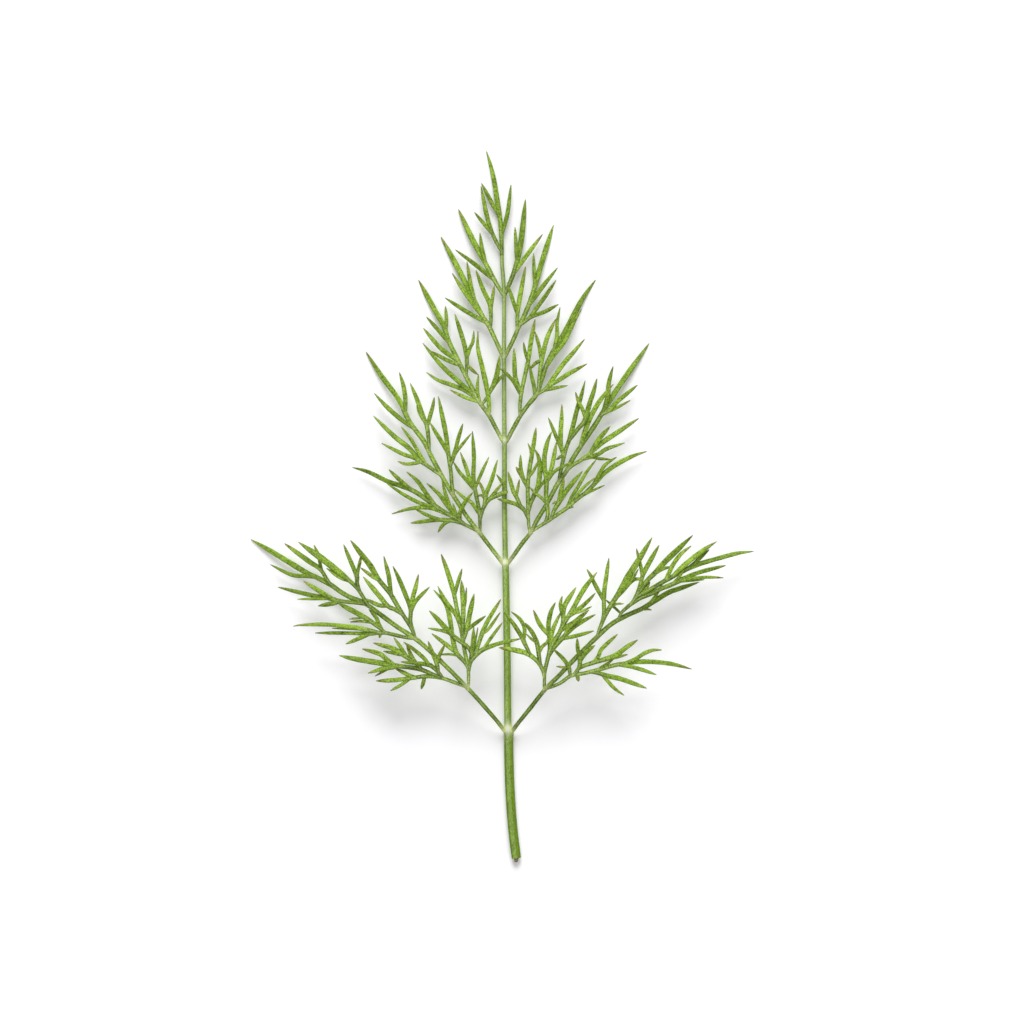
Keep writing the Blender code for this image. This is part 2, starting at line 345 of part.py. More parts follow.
middle_right = limb(
    [(0.77, -11.9, 2.1), (2.0, -10.4, 2.44), (4.1, -7.4, 3.12), (5.9, -5.1, 3.6), (7.0, -2.9, 3.93),
     (9.1, 0.6, 4.2), (11.3, 4.7, 4.14), (12.9, 7.0, 3.96), (14.2, 9.5, 3.72), (16.0, 12.3, 3.31),
     (19.0, 16.8, 2.54), (21.4, 20.8, 1.79), (24.5, 25.5, 1.0), (29.5, 32.6, 0.0)],
    0,
    limb([(5.8, -5.0), (5.45, -3.8), (5.35, -2.0), (5.3, 1.0), (5.25, 4.0), (5.6, 7.5), (6.2, 11.0),
          (6.9, 15.7)], 0.2,
         limb([(5.3, -2.2), (4.5, -0.7), (3.3, 0.3), (1.5, 0.9), (-0.8, 1.5)], -0.3,
              limb([(3.5, 0.2), (3.0, 1.9), (2.3, 3.3), (1.3, 6.9)], 0.8,
                   limb([(2.9, 2.0), (3.2, 3.3), (3.6, 5.4)], 0.2, wide=0.55),
                   wide=0.8),
              wide=0.7),
         limb([(5.3, 4.0), (4.3, 5.6), (2.9, 7.9)], 0.6,
              limb([(4.6, 5.2), (3.9, 7.2), (3.8, 10.3)], -0.3, wide=0.75),
              wide=0.65),
         limb([(6.0, 9.4), (5.85, 11.0), (5.3, 12.6)], 0.5, wide=0.5),
         limb([(5.5, 6.0), (6.5, 7.3), (7.4, 9.2)], 0.8, wide=0.6),
         limb([(5.3, -1.2), (5.8, 0.6), (6.5, 2.2), (7.3, 4.2), (7.7, 7.4), (7.4, 9.8),
               (6.6, 11.5)], 0.8,
              limb([(6.8, 2.8), (7.7, 4.0), (8.6, 5.2), (9.0, 6.2)], -0.6, wide=0.6),
              wide=0.95),
         wide=0.85),
    limb([(11.4, 4.9), (11.9, 7.4), (12.3, 9.3), (12.9, 11.6), (13.6, 13.6), (14.4, 16.6), (15.1, 19.4),
          (15.9, 22.0), (16.7, 25.1)], -1.2,
         limb([(12.5, 10.2), (11.9, 12.0), (11.8, 14.4), (12.0, 17.8), (12.05, 20.4)], 0.4, wide=0.9),
         limb([(12.5, 10.4), (11.6, 12.3), (10.8, 14.2), (9.35, 17.7)], 1.2, wide=0.75),
         limb([(12.5, 10.4), (11.7, 9.9), (10.9, 9.3)], 0.6, wide=0.6),
         limb([(13.5, 13.4), (15.2, 15.4), (16.4, 16.8), (17.0, 18.4), (17.6, 20.6), (18.4, 23.0),
               (19.05, 25.5)], -0.3,
              limb([(17.0, 18.0), (16.2, 19.3), (15.4, 20.8), (14.75, 22.8)], 1.2, wide=0.75),
              wide=0.95),
         wide=0.95),
    limb([(15.9, 12.3), (16.6, 14.8), (17.4, 17.0), (18.6, 19.4), (20.2, 21.9),
          (22.3, 24.4)], 0.6, wide=0.95),
    limb([(20.4, 19.4), (21.2, 22.0), (21.4, 24.4), (21.8, 26.2), (22.3, 28.0)], -0.2, wide=0.9),
    limb([(20.1, 18.4), (21.6, 19.3), (23.2, 21.0), (25.0, 22.5), (27.15, 24.25)], -0.6,
         limb([(21.2, 18.8), (22.8, 19.6), (25.7, 21.2)], -0.9, wide=0.6),
         wide=0.85),
    limb([(12.8, 7.0), (14.2, 8.2), (16.4, 9.6), (18.0, 10.9), (20.2, 12.8), (23.0, 14.7),
          (27.4, 17.6)], -3.2,
         limb([(18.0, 11.0), (18.8, 12.4), (19.8, 13.9), (21.7, 16.0)], 0.4, wide=0.95),
         limb([(17.4, 10.2), (19.2, 10.4), (21.0, 11.5), (24.6, 12.7)], -0.7, wide=0.8),
         limb([(16.4, 9.6), (18.0, 9.8), (19.6, 9.55), (21.9, 9.4)], -1.2, wide=0.65),
         wide=0.95),
    limb([(5.9, -4.9), (7.5, -4.0), (9.3, -2.9), (11.3, -1.5), (13.3, -0.1), (15.0, 1.4), (17.2, 3.1),
          (19.0, 5.0), (20.6, 6.7), (23.3, 8.6), (26.3, 10.1), (29.0, 11.0)], -3.2,
         limb([(13.0, -0.3), (13.6, -0.2), (14.4, -0.1)], -0.3, wide=0.5),
         limb([(18.5, 4.5), (19.6, 6.6), (20.8, 8.4), (22.95, 9.85)], 0.8, wide=0.75),
         limb([(15.3, 1.7), (17.2, 2.7), (20.6, 4.25)], -0.5, wide=0.5),
         limb([(13.4, 0.0), (14.0, 1.9), (15.2, 3.8), (17.0, 6.9), (18.95, 9.4)], 0.8, wide=0.7),
         limb([(14.0, 0.6), (15.2, 2.4), (16.6, 4.0), (18.9, 5.9)], 0.7, wide=0.6),
         limb([(10.0, -2.4), (10.6, -0.6), (11.6, 1.0), (13.0, 3.2), (14.6, 5.2),
               (16.2, 7.1)], 1.2,
              limb([(11.6, 1.0), (11.8, 2.6), (12.1, 4.0), (12.5, 5.6)], 0.9, wide=0.9),
              limb([(11.5, 0.9), (11.0, 0.9), (10.1, 0.55)], 0.5, wide=0.5),
              wide=0.95),
         limb([(9.0, -3.1), (9.2, -1.8), (9.15, -0.3), (9.0, 1.2), (8.9, 2.6), (8.95, 4.0), (9.0, 5.6),
               (8.6, 7.6), (8.6, 10.0), (9.1, 12.6), (10.0, 14.9)], 4.4,
              limb([(9.0, 1.0), (7.9, 1.8), (6.8, 2.6), (5.6, 3.9)], 0.8, wide=0.65),
              limb([(9.0, 5.6), (9.9, 7.4), (10.4, 9.6), (11.0, 13.0)], 0.0, wide=0.85),
              limb([(9.0, 5.2), (10.5, 6.9), (12.3, 8.0), (13.9, 8.8)], 0.9, wide=0.7),
              wide=0.95),
         wide=0.9),
)

upper_left = limb(
    [(0.6, 12.6, 2.0), (0.1, 13.4, 2.1), (-1.05, 15.5, 2.4), (-2.5, 18.2, 2.8), (-4.5, 21.0, 2.9),
     (-5.9, 23.7, 2.8), (-7.3, 26.4, 2.6), (-9.0, 29.8, 2.2), (-10.6, 33.2, 1.7), (-11.6, 36.2, 1.3),
     (-13.5, 39.6, 0.8), (-16.6, 45.3, 0.0)],
    0,
    limb([(-11.3, 35.2), (-11.0, 37.4), (-11.2, 40.0)], 0.5, wide=0.75),
    limb([(-10.5, 33.0), (-12.4, 35.0), (-15.0, 37.9)], -0.4, wide=0.85),
    limb([(-9.0, 29.4), (-12.1, 31.6), (-15.6, 35.6)], -0.8, wide=0.9),
    limb([(-8.4, 28.2), (-11.0, 29.3), (-14.3, 31.1)], -0.6, wide=0.75),
    limb([(-5.2, 22.3), (-7.0, 23.6), (-9.3, 25.6), (-12.3, 28.5), (-15.7, 32.6)], -1.2, wide=0.9),
    limb([(-5.0, 21.8), (-7.2, 23.1), (-10.0, 24.3), (-12.8, 25.3), (-15.0, 26.8)], -2.2, wide=0.85),
    limb([(-4.6, 21.2), (-7.5, 21.9), (-10.3, 23.3)], -1.0, wide=0.7),
    limb([(-4.4, 20.8), (-4.8, 23.0), (-4.6, 26.4)], 0.6, wide=0.7),
    limb([(-7.2, 26.2), (-6.9, 28.5), (-7.0, 30.2), (-7.6, 33.0), (-9.3, 38.4)], -0.6,
         limb([(-7.0, 29.8), (-6.3, 31.6), (-5.7, 32.9), (-5.5, 35.1)], 0.5, wide=0.7),
         limb([(-6.9, 28.2), (-5.9, 27.3), (-4.7, 26.3)], 0.7, wide=0.65),
         wide=0.9),
    limb([(-2.7, 18.5), (-2.5, 20.5), (-2.8, 23.0), (-3.8, 27.6), (-4.7, 31.6),
          (-4.7, 35.0)], 0.2, wide=0.95),
    limb([(-3.9, 20.3), (-3.0, 21.6), (-1.9, 23.6), (-0.5, 25.4), (0.6, 26.4)], -0.4,
         limb([(-1.9, 23.6), (-1.2, 25.4), (-0.7, 27.4), (-0.4, 30.1)], 0.4, wide=0.95),
         wide=0.6),
)

upper_right = limb(
    [(0.6, 12.6, 2.0), (1.1, 13.2, 2.08), (2.2, 15.3, 2.37), (3.9, 18.3, 2.8), (5.4, 20.4, 2.88),
     (7.0, 22.4, 2.85), (7.9, 25.0, 2.7), (8.9, 28.0, 2.41), (10.2, 30.8, 2.05), (12.3, 34.2, 1.57),
     (14.6, 38.6, 0.95), (16.5, 42.0, 0.46), (18.8, 45.3, 0.0)],
    0,
    limb([(8.8, 27.8), (10.8, 30.7), (12.6, 33.0), (14.6, 37.0), (16.0, 39.4)], -1.8, wide=0.85),
    limb([(10.7, 31.6), (11.1, 34.0), (11.1, 36.6), (11.7, 39.8)], 0.4, wide=0.75),
    limb([(7.4, 23.6), (7.7, 27.0), (8.2, 30.0), (9.1, 33.6), (10.8, 37.4)], -0.4,
         limb([(8.1, 29.4), (7.6, 31.6), (6.7, 34.9)], 0.4, wide=0.75),
         limb([(7.9, 29.2), (6.8, 28.6), (5.7, 27.4)], 0.8, wide=0.7),
         wide=0.9),
    limb([(6.8, 22.2), (6.5, 23.9), (6.0, 26.1), (5.6, 28.4)], 1.0, wide=0.75),
    limb([(3.8, 18.3), (3.8, 21.4), (4.4, 24.8), (5.3, 29.0), (5.9, 33.0),
          (6.7, 37.4)], -0.4,
         limb([(3.8, 22.6), (2.5, 24.8), (1.1, 26.4), (-0.3, 27.6)], 0.6, wide=0.75),
         limb([(3.8, 23.0), (2.8, 25.6), (2.6, 28.4), (2.5, 31.6)], 0.3, wide=0.9),
         limb([(5.3, 29.2), (4.7, 31.0), (4.4, 32.8)], 0.3, wide=0.6),
         wide=0.9),
    limb([(7.1, 22.5), (8.9, 23.6), (10.2, 25.4), (12.3, 28.4), (14.2, 30.6),
          (16.6, 33.4)], -2.2,
         limb([(9.3, 24.0), (11.4, 25.2), (13.6, 26.6), (17.1, 28.5)], -0.6, wide=0.85),
         limb([(8.6, 23.4), (10.4, 23.6), (13.2, 24.15)], -0.8, wide=0.7),
         wide=0.9),
)

high_left = limb(
    [(0.5, 29.5, 1.8), (-1.4, 33.7, 2.1), (-2.6, 36.2, 2.1), (-4.0, 38.4, 2.0), (-6.3, 42.9, 1.5),
     (-9.3, 48.8, 0.7), (-12.1, 53.9, 0.22)],
    0,
    limb([(-5.3, 41.2), (-6.2, 44.6), (-6.9, 48.9)], 0.2, wide=0.8),
    limb([(-3.9, 38.2), (-6.8, 42.0), (-9.85, 46.6)], -0.9, wide=0.85),
    limb([(-2.9, 36.9), (-6.9, 38.9), (-11.3, 41.7)], -1.0, wide=0.85),
    limb([(-2.4, 35.8), (-2.1, 38.2), (-2.4, 40.6), (-3.7, 43.4), (-5.1, 47.2)], 0.2,
         limb([(-2.2, 39.2), (-1.8, 41.6), (-1.4, 44.1)], 0.4, wide=0.7),
         wide=0.9),
)

high_right = limb(
    [(0.5, 29.5, 1.8), (2.35, 33.3, 2.07), (3.6, 36.2, 2.1), (5.1, 39.4, 1.89), (6.5, 43.4, 1.43),
     (7.8, 48.0, 0.81), (10.4, 56.3, 0.0)],
    0,
    limb([(6.7, 44.2), (6.5, 47.4), (6.4, 50.6)], 0.4, wide=0.7),
    limb([(5.4, 40.4), (8.2, 43.9), (11.2, 47.7)], -0.6, wide=0.85),
    limb([(3.6, 36.2), (6.0, 37.9), (8.6, 38.9), (11.4, 40.4)], -1.2,
         limb([(5.8, 37.8), (8.2, 41.2), (10.9, 45.2)], -0.4, wide=0.8),
         wide=0.8),
    limb([(3.3, 35.5), (3.2, 38.4), (3.6, 41.4), (4.8, 47.9)], 0.4,
         limb([(3.2, 38.8), (2.2, 41.4), (1.1, 44.7)], 0.4, wide=0.75),
         wide=0.9),
)

top_left = limb(
    [(0.5, 42.1, 1.5), (-1.0, 44.5, 1.7), (-3.0, 48.2, 1.7), (-5.9, 53.6, 1.02),
     (-8.6, 59.4, 0.26)],
    0,
    limb([(-3.2, 48.8), (-3.9, 51.6), (-4.3, 54.7)], 0.4, wide=0.75),
    limb([(-1.5, 45.6), (-5.2, 48.3), (-9.2, 51.3)], -1.0, wide=0.85),
)

top_right = limb(
    [(0.5, 42.1, 1.5), (1.65, 44.6, 1.7), (2.9, 48.2, 1.7), (3.9, 53.0, 1.1),
     (4.8, 61.4, 0.0)],
    0,
    limb([(3.1, 49.2), (2.9, 52.4), (2.7, 55.8)], 0.4, wide=0.75),
    limb([(2.4, 46.9), (5.2, 50.4), (8.2, 54.4)], -1.0, wide=0.85),
)

main_stem = limb(
    [(2.95, -70.3, 0.92), (2.3, -65.0, 0.92), (1.88, -60.0, 0.92), (1.6, -55.0, 0.92),
     (1.45, -50.0, 0.95), (1.42, -47.5, 1.0), (1.42, -45.3, 1.1), (1.26, -43.6, 1.2),
     (1.22, -40.0, 1.4), (1.12, -30.0, 1.8), (0.95, -20.0, 2.0), (0.82, -13.0, 2.05),
     (0.78, -11.5, 2.1), (0.75, -10.0, 2.1), (0.6, 0.0, 2.1), (0.6, 10.5, 2.05), (0.6, 13.0, 2.0),
     (0.58, 15.0, 2.0), (0.5, 29.5, 1.8), (0.5, 42.3, 1.5), (0.1, 48.5, 1.3), (0.0, 53.0, 1.1),
     (-0.25, 57.0, 0.9), (-0.85, 61.0, 0.7), (-1.45, 65.0, 0.4), (-2.2, 68.3, 0.2),
     (-3.0, 71.0, 0.0)],
    0,
    limb([(-0.4, 58.2), (-1.9, 60.6), (-4.0, 64.6)], 0.2, wide=0.8),
    limb([(0.0, 54.4), (1.2, 58.6), (1.9, 64.3)], 0.3, wide=0.8),
    limb([(0.0, 51.2), (-1.7, 54.3), (-2.9, 58.0), (-4.1, 64.0)], 0.4,
         limb([(-1.9, 54.6), (-3.6, 56.6), (-5.4, 58.8)], -0.4, wide=0.75),
         wide=0.85),
)

pinnae = {
    "lower_left": lower_left,
    "lower_right": lower_right,
    "middle_left": middle_left,
    "middle_right": middle_right,
    "upper_left": upper_left,
    "upper_right": upper_right,
    "high_left": high_left,
    "high_right": high_right,
    "top_left": top_left,
    "top_right": top_right,
}


def drawn_path(points):
    """The points where the line bends, and one more halfway along the last stretch to shape the tip."""
    path = [points[0]]
    for point, after in zip(points[1:], points[2:]):
        straight, _ = intersect_point_line(point, path[-1], after)
        if (point - straight).length > least_bend:
            path.append(point)
    return [*path, (path[-1] + points[-1]) / 2, points[-1]]


def lengths_along(path):
    """The distance from the first point of the path to each of its points."""
    lengths = [0.0]
    for start, end in zip(path, path[1:]):
        lengths.append(lengths[-1] + (end - start).length)
    return lengths


def nearest_foot(path, point):
    """The nearest place on the path's centre line, seen from above, and its distance along the path."""
    best = None
    lengths = lengths_along(path)
    for start, end, at in zip(path, path[1:], lengths):
        across = (end - start).xy
        share = min(1.0, max(0.0, (point - start).xy.dot(across) / across.length_squared))
        foot = start.lerp(end, share)
        away = (foot - point).xy.length
        if best is None or away < best[0]:
            best = (away, foot, at + (end - start).length * share)
    return best[1], best[2]


def flat_point(x, y):
    return Vector((x - table_centre_x, y - table_centre_y, 0))


def value_at(pairs, x):
    """The value at x on the straight lines between the pairs."""
    for (low, start), (high, end) in zip(pairs, pairs[1:]):
        if x <= high:
            return start + (end - start) * max(0.0, (x - low) / (high - low))
    return pairs[-1][1]


def blade_width(share, first, widest):
    """A segment's width at a share of its length: from its first width to its widest, then to a point."""
    if share < segment_widest_at:
        return first + (widest - first) * math.sin(share / segment_widest_at * math.pi / 2)
    taper = ((share - segment_widest_at) / (1 - segment_widest_at)) ** segment_taper_power
    return widest + (segment_tip_width - widest) * taper


def segment_width(spec, length):
    if spec["wide"]:
        return spec["wide"]
    width = threadlike_width + segment_width_per_length * length
    return min(max(width, narrowest_segment), broadest_segment)


def shape_of(spec, path, stalk_width):
    """The width along a limb: a stalk as far as its last side limb, and a blade beyond it."""
    lengths = lengths_along(path)
    widest = segment_width(spec, lengths[-1])
    if not spec["limbs"]:
        return [blade_width(at / lengths[-1], widest * segment_base_share, widest) for at in lengths]
    last = max(nearest_foot(path, flat_point(*side["points"][0]))[1] for side in spec["limbs"])
    widths = []
    for at in lengths:
        beyond = max(0.0, (at - last) / (lengths[-1] - last))
        widths.append(blade_width(beyond, stalk_width, max(widest, stalk_width)))
    return widths


def grow(spec, carrier):
    """The limb and all the limbs on it, as a list of (path, widths, whether it is a stalk)."""
    foot, _ = nearest_foot(carrier, flat_point(*spec["points"][0]))
    level = Vector((0, 0, foot.z))
    path = drawn_path([foot, *(flat_point(x, y) + level for x, y in spec["points"][1:])])
    lengths = lengths_along(path)
    for point, at in zip(path, lengths):
        point.z = foot.z + rise_share * spec["rise"] * at / lengths[-1]
    widths = shape_of(spec, path, twig_width)
    grown = [(path, widths, bool(spec["limbs"]))]
    for side in spec["limbs"]:
        grown += grow(side, path)
    return grown


def clear_of_stalk(path, widths, stalk_path):
    """The path and widths without the stretch that would come nearer to the leaf stalk than the gap."""
    needed = value_at(stalk_diameters, path[0].y + table_centre_y) / 2 + widths[0] / 2 + foot_gap
    for i, (start, end) in enumerate(zip(path, path[1:])):
        for share in (0, 0.1, 0.2, 0.3, 0.4, 0.5, 0.6, 0.7, 0.8, 0.9):
            foot = start.lerp(end, share)
            if (nearest_foot(stalk_path, foot)[0] - foot).length >= needed:
                return [foot, *path[i + 1:]], widths[i:]
    raise ValueError("the pinna never leaves the leaf stalk")


def section(name, sides, flatness):
    """A closed outline of radius 1, flattened, that a limb's curve carries along its path."""
    data = bpy.data.curves.new(name, "CURVE")
    data.dimensions = "2D"
    spline = data.splines.new("POLY")
    spline.points.add(sides - 1)
    spline.use_cyclic_u = True
    for i, point in enumerate(spline.points):
        angle = 2 * math.pi * i / sides
        point.co = (math.cos(angle), math.sin(angle) * flatness, 0, 1)
    outline = bpy.data.objects.new(name, data)
    outline.hide_render = True
    outline.display_type = "WIRE"
    guides.objects.link(outline)
    return outline


def tube(name, path, widths, outline, flatness, collection):
    """A closed mesh along the path, on or above the surface, as wide at each point as its width says."""
    data = bpy.data.curves.new(name, "CURVE")
    data.dimensions = "3D"
    data.twist_mode = "Z_UP"
    data.bevel_mode = "OBJECT"
    data.bevel_object = outline
    data.use_fill_caps = True
    spline = data.splines.new("POLY")
    spline.points.add(len(path) - 1)
    for point, place, width in zip(spline.points, path, widths):
        height = max(place.z, width * flatness / 2)
        point.co = (place.x * mm, place.y * mm, height * mm, 1)
        point.radius = width / 2 * mm
    curve = bpy.data.objects.new(name, data)
    collection.objects.link(curve)
    return as_mesh(curve, collection)


def as_mesh(curve, collection):
    """The curve as a closed mesh object of the same name, with its end caps joined to its sides."""
    name = curve.name
    graph = bpy.context.evaluated_depsgraph_get()
    mesh = bpy.data.meshes.new_from_object(curve.evaluated_get(graph))
    shape = bmesh.new()
    shape.from_mesh(mesh)
    bmesh.ops.remove_doubles(shape, verts=shape.verts, dist=0.001 * mm)
    bmesh.ops.recalc_face_normals(shape, faces=shape.faces)
    shape.to_mesh(mesh)
    shape.free()
    matrix = curve.matrix_world.copy()
    bpy.data.objects.remove(curve)
    solid = bpy.data.objects.new(name, mesh)
    solid.matrix_world = matrix
    collection.objects.link(solid)
    return solid


def new_collection(name, parent, hidden=False):
    collection = bpy.data.collections.new(name)
    collection.hide_render = hidden
    parent.children.link(collection)
    return collection


def plain_material(name, color, roughness):
    material = bpy.data.materials.new(name)
    material.use_nodes = True
    shader = material.node_tree.nodes["Principled BSDF"]
    shader.inputs["Base Color"].default_value = (*color, 1)
    shader.inputs["Roughness"].default_value = roughness
    shader.inputs["Metallic"].default_value = 0
    return material


def join_limbs(trunk, limbs):
    """Joins the limbs in the collection to the trunk. Every mesh here is closed, as this solver needs."""
    union = trunk.modifiers.new("grown together", "BOOLEAN")
    union.operation = "UNION"
    union.operand_type = "COLLECTION"
    union.collection = limbs
    union.solver = "MANIFOLD"


def build_limbs(name, trunk_path, trunk_widths, trunk_outline, trunk_flatness, sides, material):
    """One solid: a trunk and every limb grown from it."""
    limbs = new_collection(name + " limbs", guides, hidden=True)
    trunk = tube(name, trunk_path, trunk_widths, trunk_outline, trunk_flatness, leaf)
    trunk.data.materials.append(material)
    for i, (path, widths, is_stalk) in enumerate(sides):
        outline = stalk_section if is_stalk else segment_section
        flatness = stalk_flatness if is_stalk else segment_flatness
        piece = tube(f"{name} limb {i + 1}", path, widths, outline, flatness, limbs)
        piece.data.materials.append(material)
        piece.hide_render = True
        piece.display_type = "WIRE"
    join_limbs(trunk, limbs)
    return trunk


def raised_points(spec, stretch=1.0):
    """The points of a trunk's table, with their heights over its foot multiplied by the stretch."""
    low = spec["points"][0][2]
    return [flat_point(x, y) + Vector((0, 0, low + (z - low) * stretch)) for x, y, z in spec["points"]]


def build_pinna(name, spec, stalk_path):
    path = drawn_path(raised_points(spec, arch))
    widths = shape_of(spec, path, side_stalk_width)
    sides = []
    for side in spec["limbs"]:
        sides += grow(side, path)
    path, widths = clear_of_stalk(path, widths, stalk_path)
    material = plain_material(name + " green", leaf_green, 0.5)
    return build_limbs(name, path, widths, stalk_section, stalk_flatness, sides, material)


def build_stem(stalk_path):
    widths = [value_at(stalk_diameters, point.y + table_centre_y) for point in stalk_path]
    sides = [pith(stalk_path[0])]
    for side in main_stem["limbs"]:
        sides += grow(side, stalk_path)
    material = plain_material("stem green", stem_green, 0.45)
    return build_limbs("main_stem", stalk_path, widths, stem_section, 1.0, sides, material)


def pith(cut_end):
    """The short end of pith that stands out of the cut."""
    inside = cut_end + Vector((0, pith_length, 0))
    outside = cut_end - Vector((0, pith_length, 0))
    return [inside, outside], [pith_diameter, pith_diameter], True


for old in list(bpy.data.objects):
    bpy.data.objects.remove(old)

scene_collection = bpy.context.scene.collection
leaf = new_collection("dill leaf", scene_collection)
guides = new_collection("guides", scene_collection, hidden=True)
stem_section = section("stem section", leaf_stalk_sides, 1.0)
stalk_section = section("stalk section", stalk_sides, stalk_flatness)
segment_section = section("segment section", segment_sides, segment_flatness)

stalk_path = raised_points(main_stem)
build_stem(stalk_path)
for name, spec in pinnae.items():
    build_pinna(name, spec, stalk_path)
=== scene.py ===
import json
import math
import random

import bpy
import numpy as np
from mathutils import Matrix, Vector

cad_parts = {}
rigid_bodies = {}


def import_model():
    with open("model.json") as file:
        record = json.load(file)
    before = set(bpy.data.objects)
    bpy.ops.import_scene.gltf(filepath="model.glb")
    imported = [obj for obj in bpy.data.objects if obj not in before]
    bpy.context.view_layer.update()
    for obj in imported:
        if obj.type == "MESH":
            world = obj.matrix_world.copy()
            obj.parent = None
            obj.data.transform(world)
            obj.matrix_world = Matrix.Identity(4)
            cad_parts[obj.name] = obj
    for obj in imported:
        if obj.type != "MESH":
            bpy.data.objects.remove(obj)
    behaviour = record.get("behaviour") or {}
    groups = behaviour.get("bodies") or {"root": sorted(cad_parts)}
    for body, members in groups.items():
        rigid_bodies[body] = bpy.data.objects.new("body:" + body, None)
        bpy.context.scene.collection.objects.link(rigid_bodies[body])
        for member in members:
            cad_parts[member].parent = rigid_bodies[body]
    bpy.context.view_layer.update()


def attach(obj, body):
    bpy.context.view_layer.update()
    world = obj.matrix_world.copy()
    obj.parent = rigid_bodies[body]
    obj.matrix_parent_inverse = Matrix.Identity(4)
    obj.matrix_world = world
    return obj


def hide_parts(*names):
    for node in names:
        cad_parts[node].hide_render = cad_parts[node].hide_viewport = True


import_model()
mm = 0.001


# how every limb is drawn; lengths are in mm
limbShape = dict(
    centre=(0.1, 0.0),       # the point of the limb tables that stands on the origin
    arch=1.0,                # how high the pinnae arch over the surface, over what their tables say
    riseShare=0.5,           # how much a side limb follows the rise that its table gives
    bow=0.02,                # how far a side limb bows upwards, as a share of its length
    ringGap=0.36,            # between sections
    bladeSides=12,
    stalkSides=14,
    # a stalk runs as far as the last limb on it, and is a blade beyond that
    stalkWidths=(0.84, 0.74, 0.84),  # a pinna's own stalk, the twigs on it, and every further twig
    stalkGrowth=0.18,        # how much broader a stalk is at its last side limb than at its foot
    stalkThick=0.82,         # thickness over width
    stalkGroove=0.22,        # depth of the groove on the upper side, as a share of the half width
    waxLoss=0.45,            # how much of its waxy look a stalk has lost at its last side limb
    waxEnd=(1.2, 3.0),       # where the rest starts to go, before that limb, and over what length
    footWax=0.4,             # how waxy a blade is at its foot
    # blades
    broader=1.06,            # a blade's width over the one its table gives
    trunkBlade=1.05,         # the same at the end of a pinna's own stalk
    widestAt=0.4,            # share of a blade's length
    taperPower=3.0,          # the higher, the later a blade narrows to its point
    footShare=0.8,           # a blade's width at its foot, as a share of its widest
    tipWidth=0.16,
    tipReach=1.3,            # of the paler tip
    bladeThick=0.46,
    bladeGroove=0.16,
    roll=0.5,                # radians that a blade may turn round its own line
    waves=((0.9, 0.03), (2.3, 0.02)),      # radians per mm and share by which a width wanders
    # where limbs part
    insideStalk=1.6,         # that a pinna's foot runs inside the leaf stalk
    footBack=0.55,           # that a side limb starts further down its carrier, when it runs along it
    footSlimness=0.25,       # how much narrower a twig is where it parts from its carrier
    slimReach=1.3,
    footInside=0.8,          # a foot's section is at most this share of its carrier's,
    footSpread=(0.4, 0.3),   # and grows by this much in half width and half thickness for each mm
    jointPaleness=(1.0, 0.75, 0.2, 0.1),   # of a pinna's foot, of the twigs' feet on it, and so on
    jointReach=(1.2, 0.7, 0.6, 0.6),
    jointLength=0.75,        # of the pale spot on the carrier
    jointFade=3.5,           # how fast that paleness is lost towards a limb's tip,
    jointFadeFrom=0.2,       # from this share of its length on
    ridges=7,                # round the leaf stalk
    capOut=(0.02, 0.05),     # how far the foot's and the tip's closing points stand out
    clear=0.01,              # that all of it stays over the surface
)


def limb(wide, rise, points, *limbs):
    # its widest width, the height its tip gains, its points from foot to tip, and the limbs on it
    return dict(wide=wide, rise=rise, points=points, limbs=limbs)


def trunk(points, *limbs):
    # a limb that carries a whole pinna or the whole leaf: its points have heights of their own
    return limb(limbShape["trunkBlade"], 0, points, *limbs)


def centred(points):
    x, y = limbShape["centre"]
    return [(point[0] - x, point[1] - y, *point[2:]) for point in points]


def smoothLine(points):
    # Catmull-Rom through the points, then evenly spaced, and how far along it each place is
    p = np.array(points, float)
    p = np.vstack([2 * p[0] - p[1], p, 2 * p[-1] - p[-2]])
    t = np.linspace(0, 1, 24, endpoint=False)[:, None]
    dense = []
    for a, b, c, d in zip(p, p[1:], p[2:], p[3:]):
        bend = (2 * a - 5 * b + 4 * c - d) * t**2 + (3 * b - a - 3 * c + d) * t**3
        dense.append(0.5 * (2 * b + (c - a) * t + bend))
    dense = np.vstack([*dense, p[-2:-1]])
    at = np.concatenate([[0], np.cumsum(np.linalg.norm(np.diff(dense, axis=0), axis=1))])
    count = max(9, int(round(at[-1] / limbShape["ringGap"])) + 1)
    even = np.linspace(0, at[-1], count)
    return np.column_stack([np.interp(even, at, axis) for axis in dense.T]), even


def footOn(line, x, y):
    # the number of the place on a line that is nearest, seen from above
    return int(np.hypot(line[:, 0] - x, line[:, 1] - y).argmin())


def bladeWidth(share, foot, widest):
    s = limbShape
    out = s["widestAt"]
    grown = foot + (widest - foot) * np.sin(np.clip(share / out, 0, 1) * math.pi / 2)
    taper = np.clip((share - out) / (1 - out), 0, 1) ** s["taperPower"]
    return grown + (s["tipWidth"] - widest) * taper


def sideLine(plan, carrier):
    # the line of a limb that grows from another, and where on that one it starts
    s = limbShape
    points = centred(plan["points"])
    spine = carrier["line"]
    parting = footOn(spine, *points[0])
    ahead = spine[min(parting + 2, len(spine) - 1), :2] - spine[max(parting - 2, 0), :2]
    leaving = np.array(points[1]) - spine[parting, :2]
    alike = max(0.0, float(ahead @ leaving / (np.linalg.norm(ahead) * np.linalg.norm(leaving))))
    start = max(0, parting - round(s["footBack"] * alike / s["ringGap"]))
    foot = spine[start]
    flat, at = smoothLine([tuple(foot[:2]), *points[1:]])
    share = at / at[-1]
    rise = s["riseShare"] * plan["rise"] * share
    bow = s["bow"] * at[-1] * 4 * share * (1 - share)
    return np.column_stack([flat, foot[2] + rise + bow]), at, start


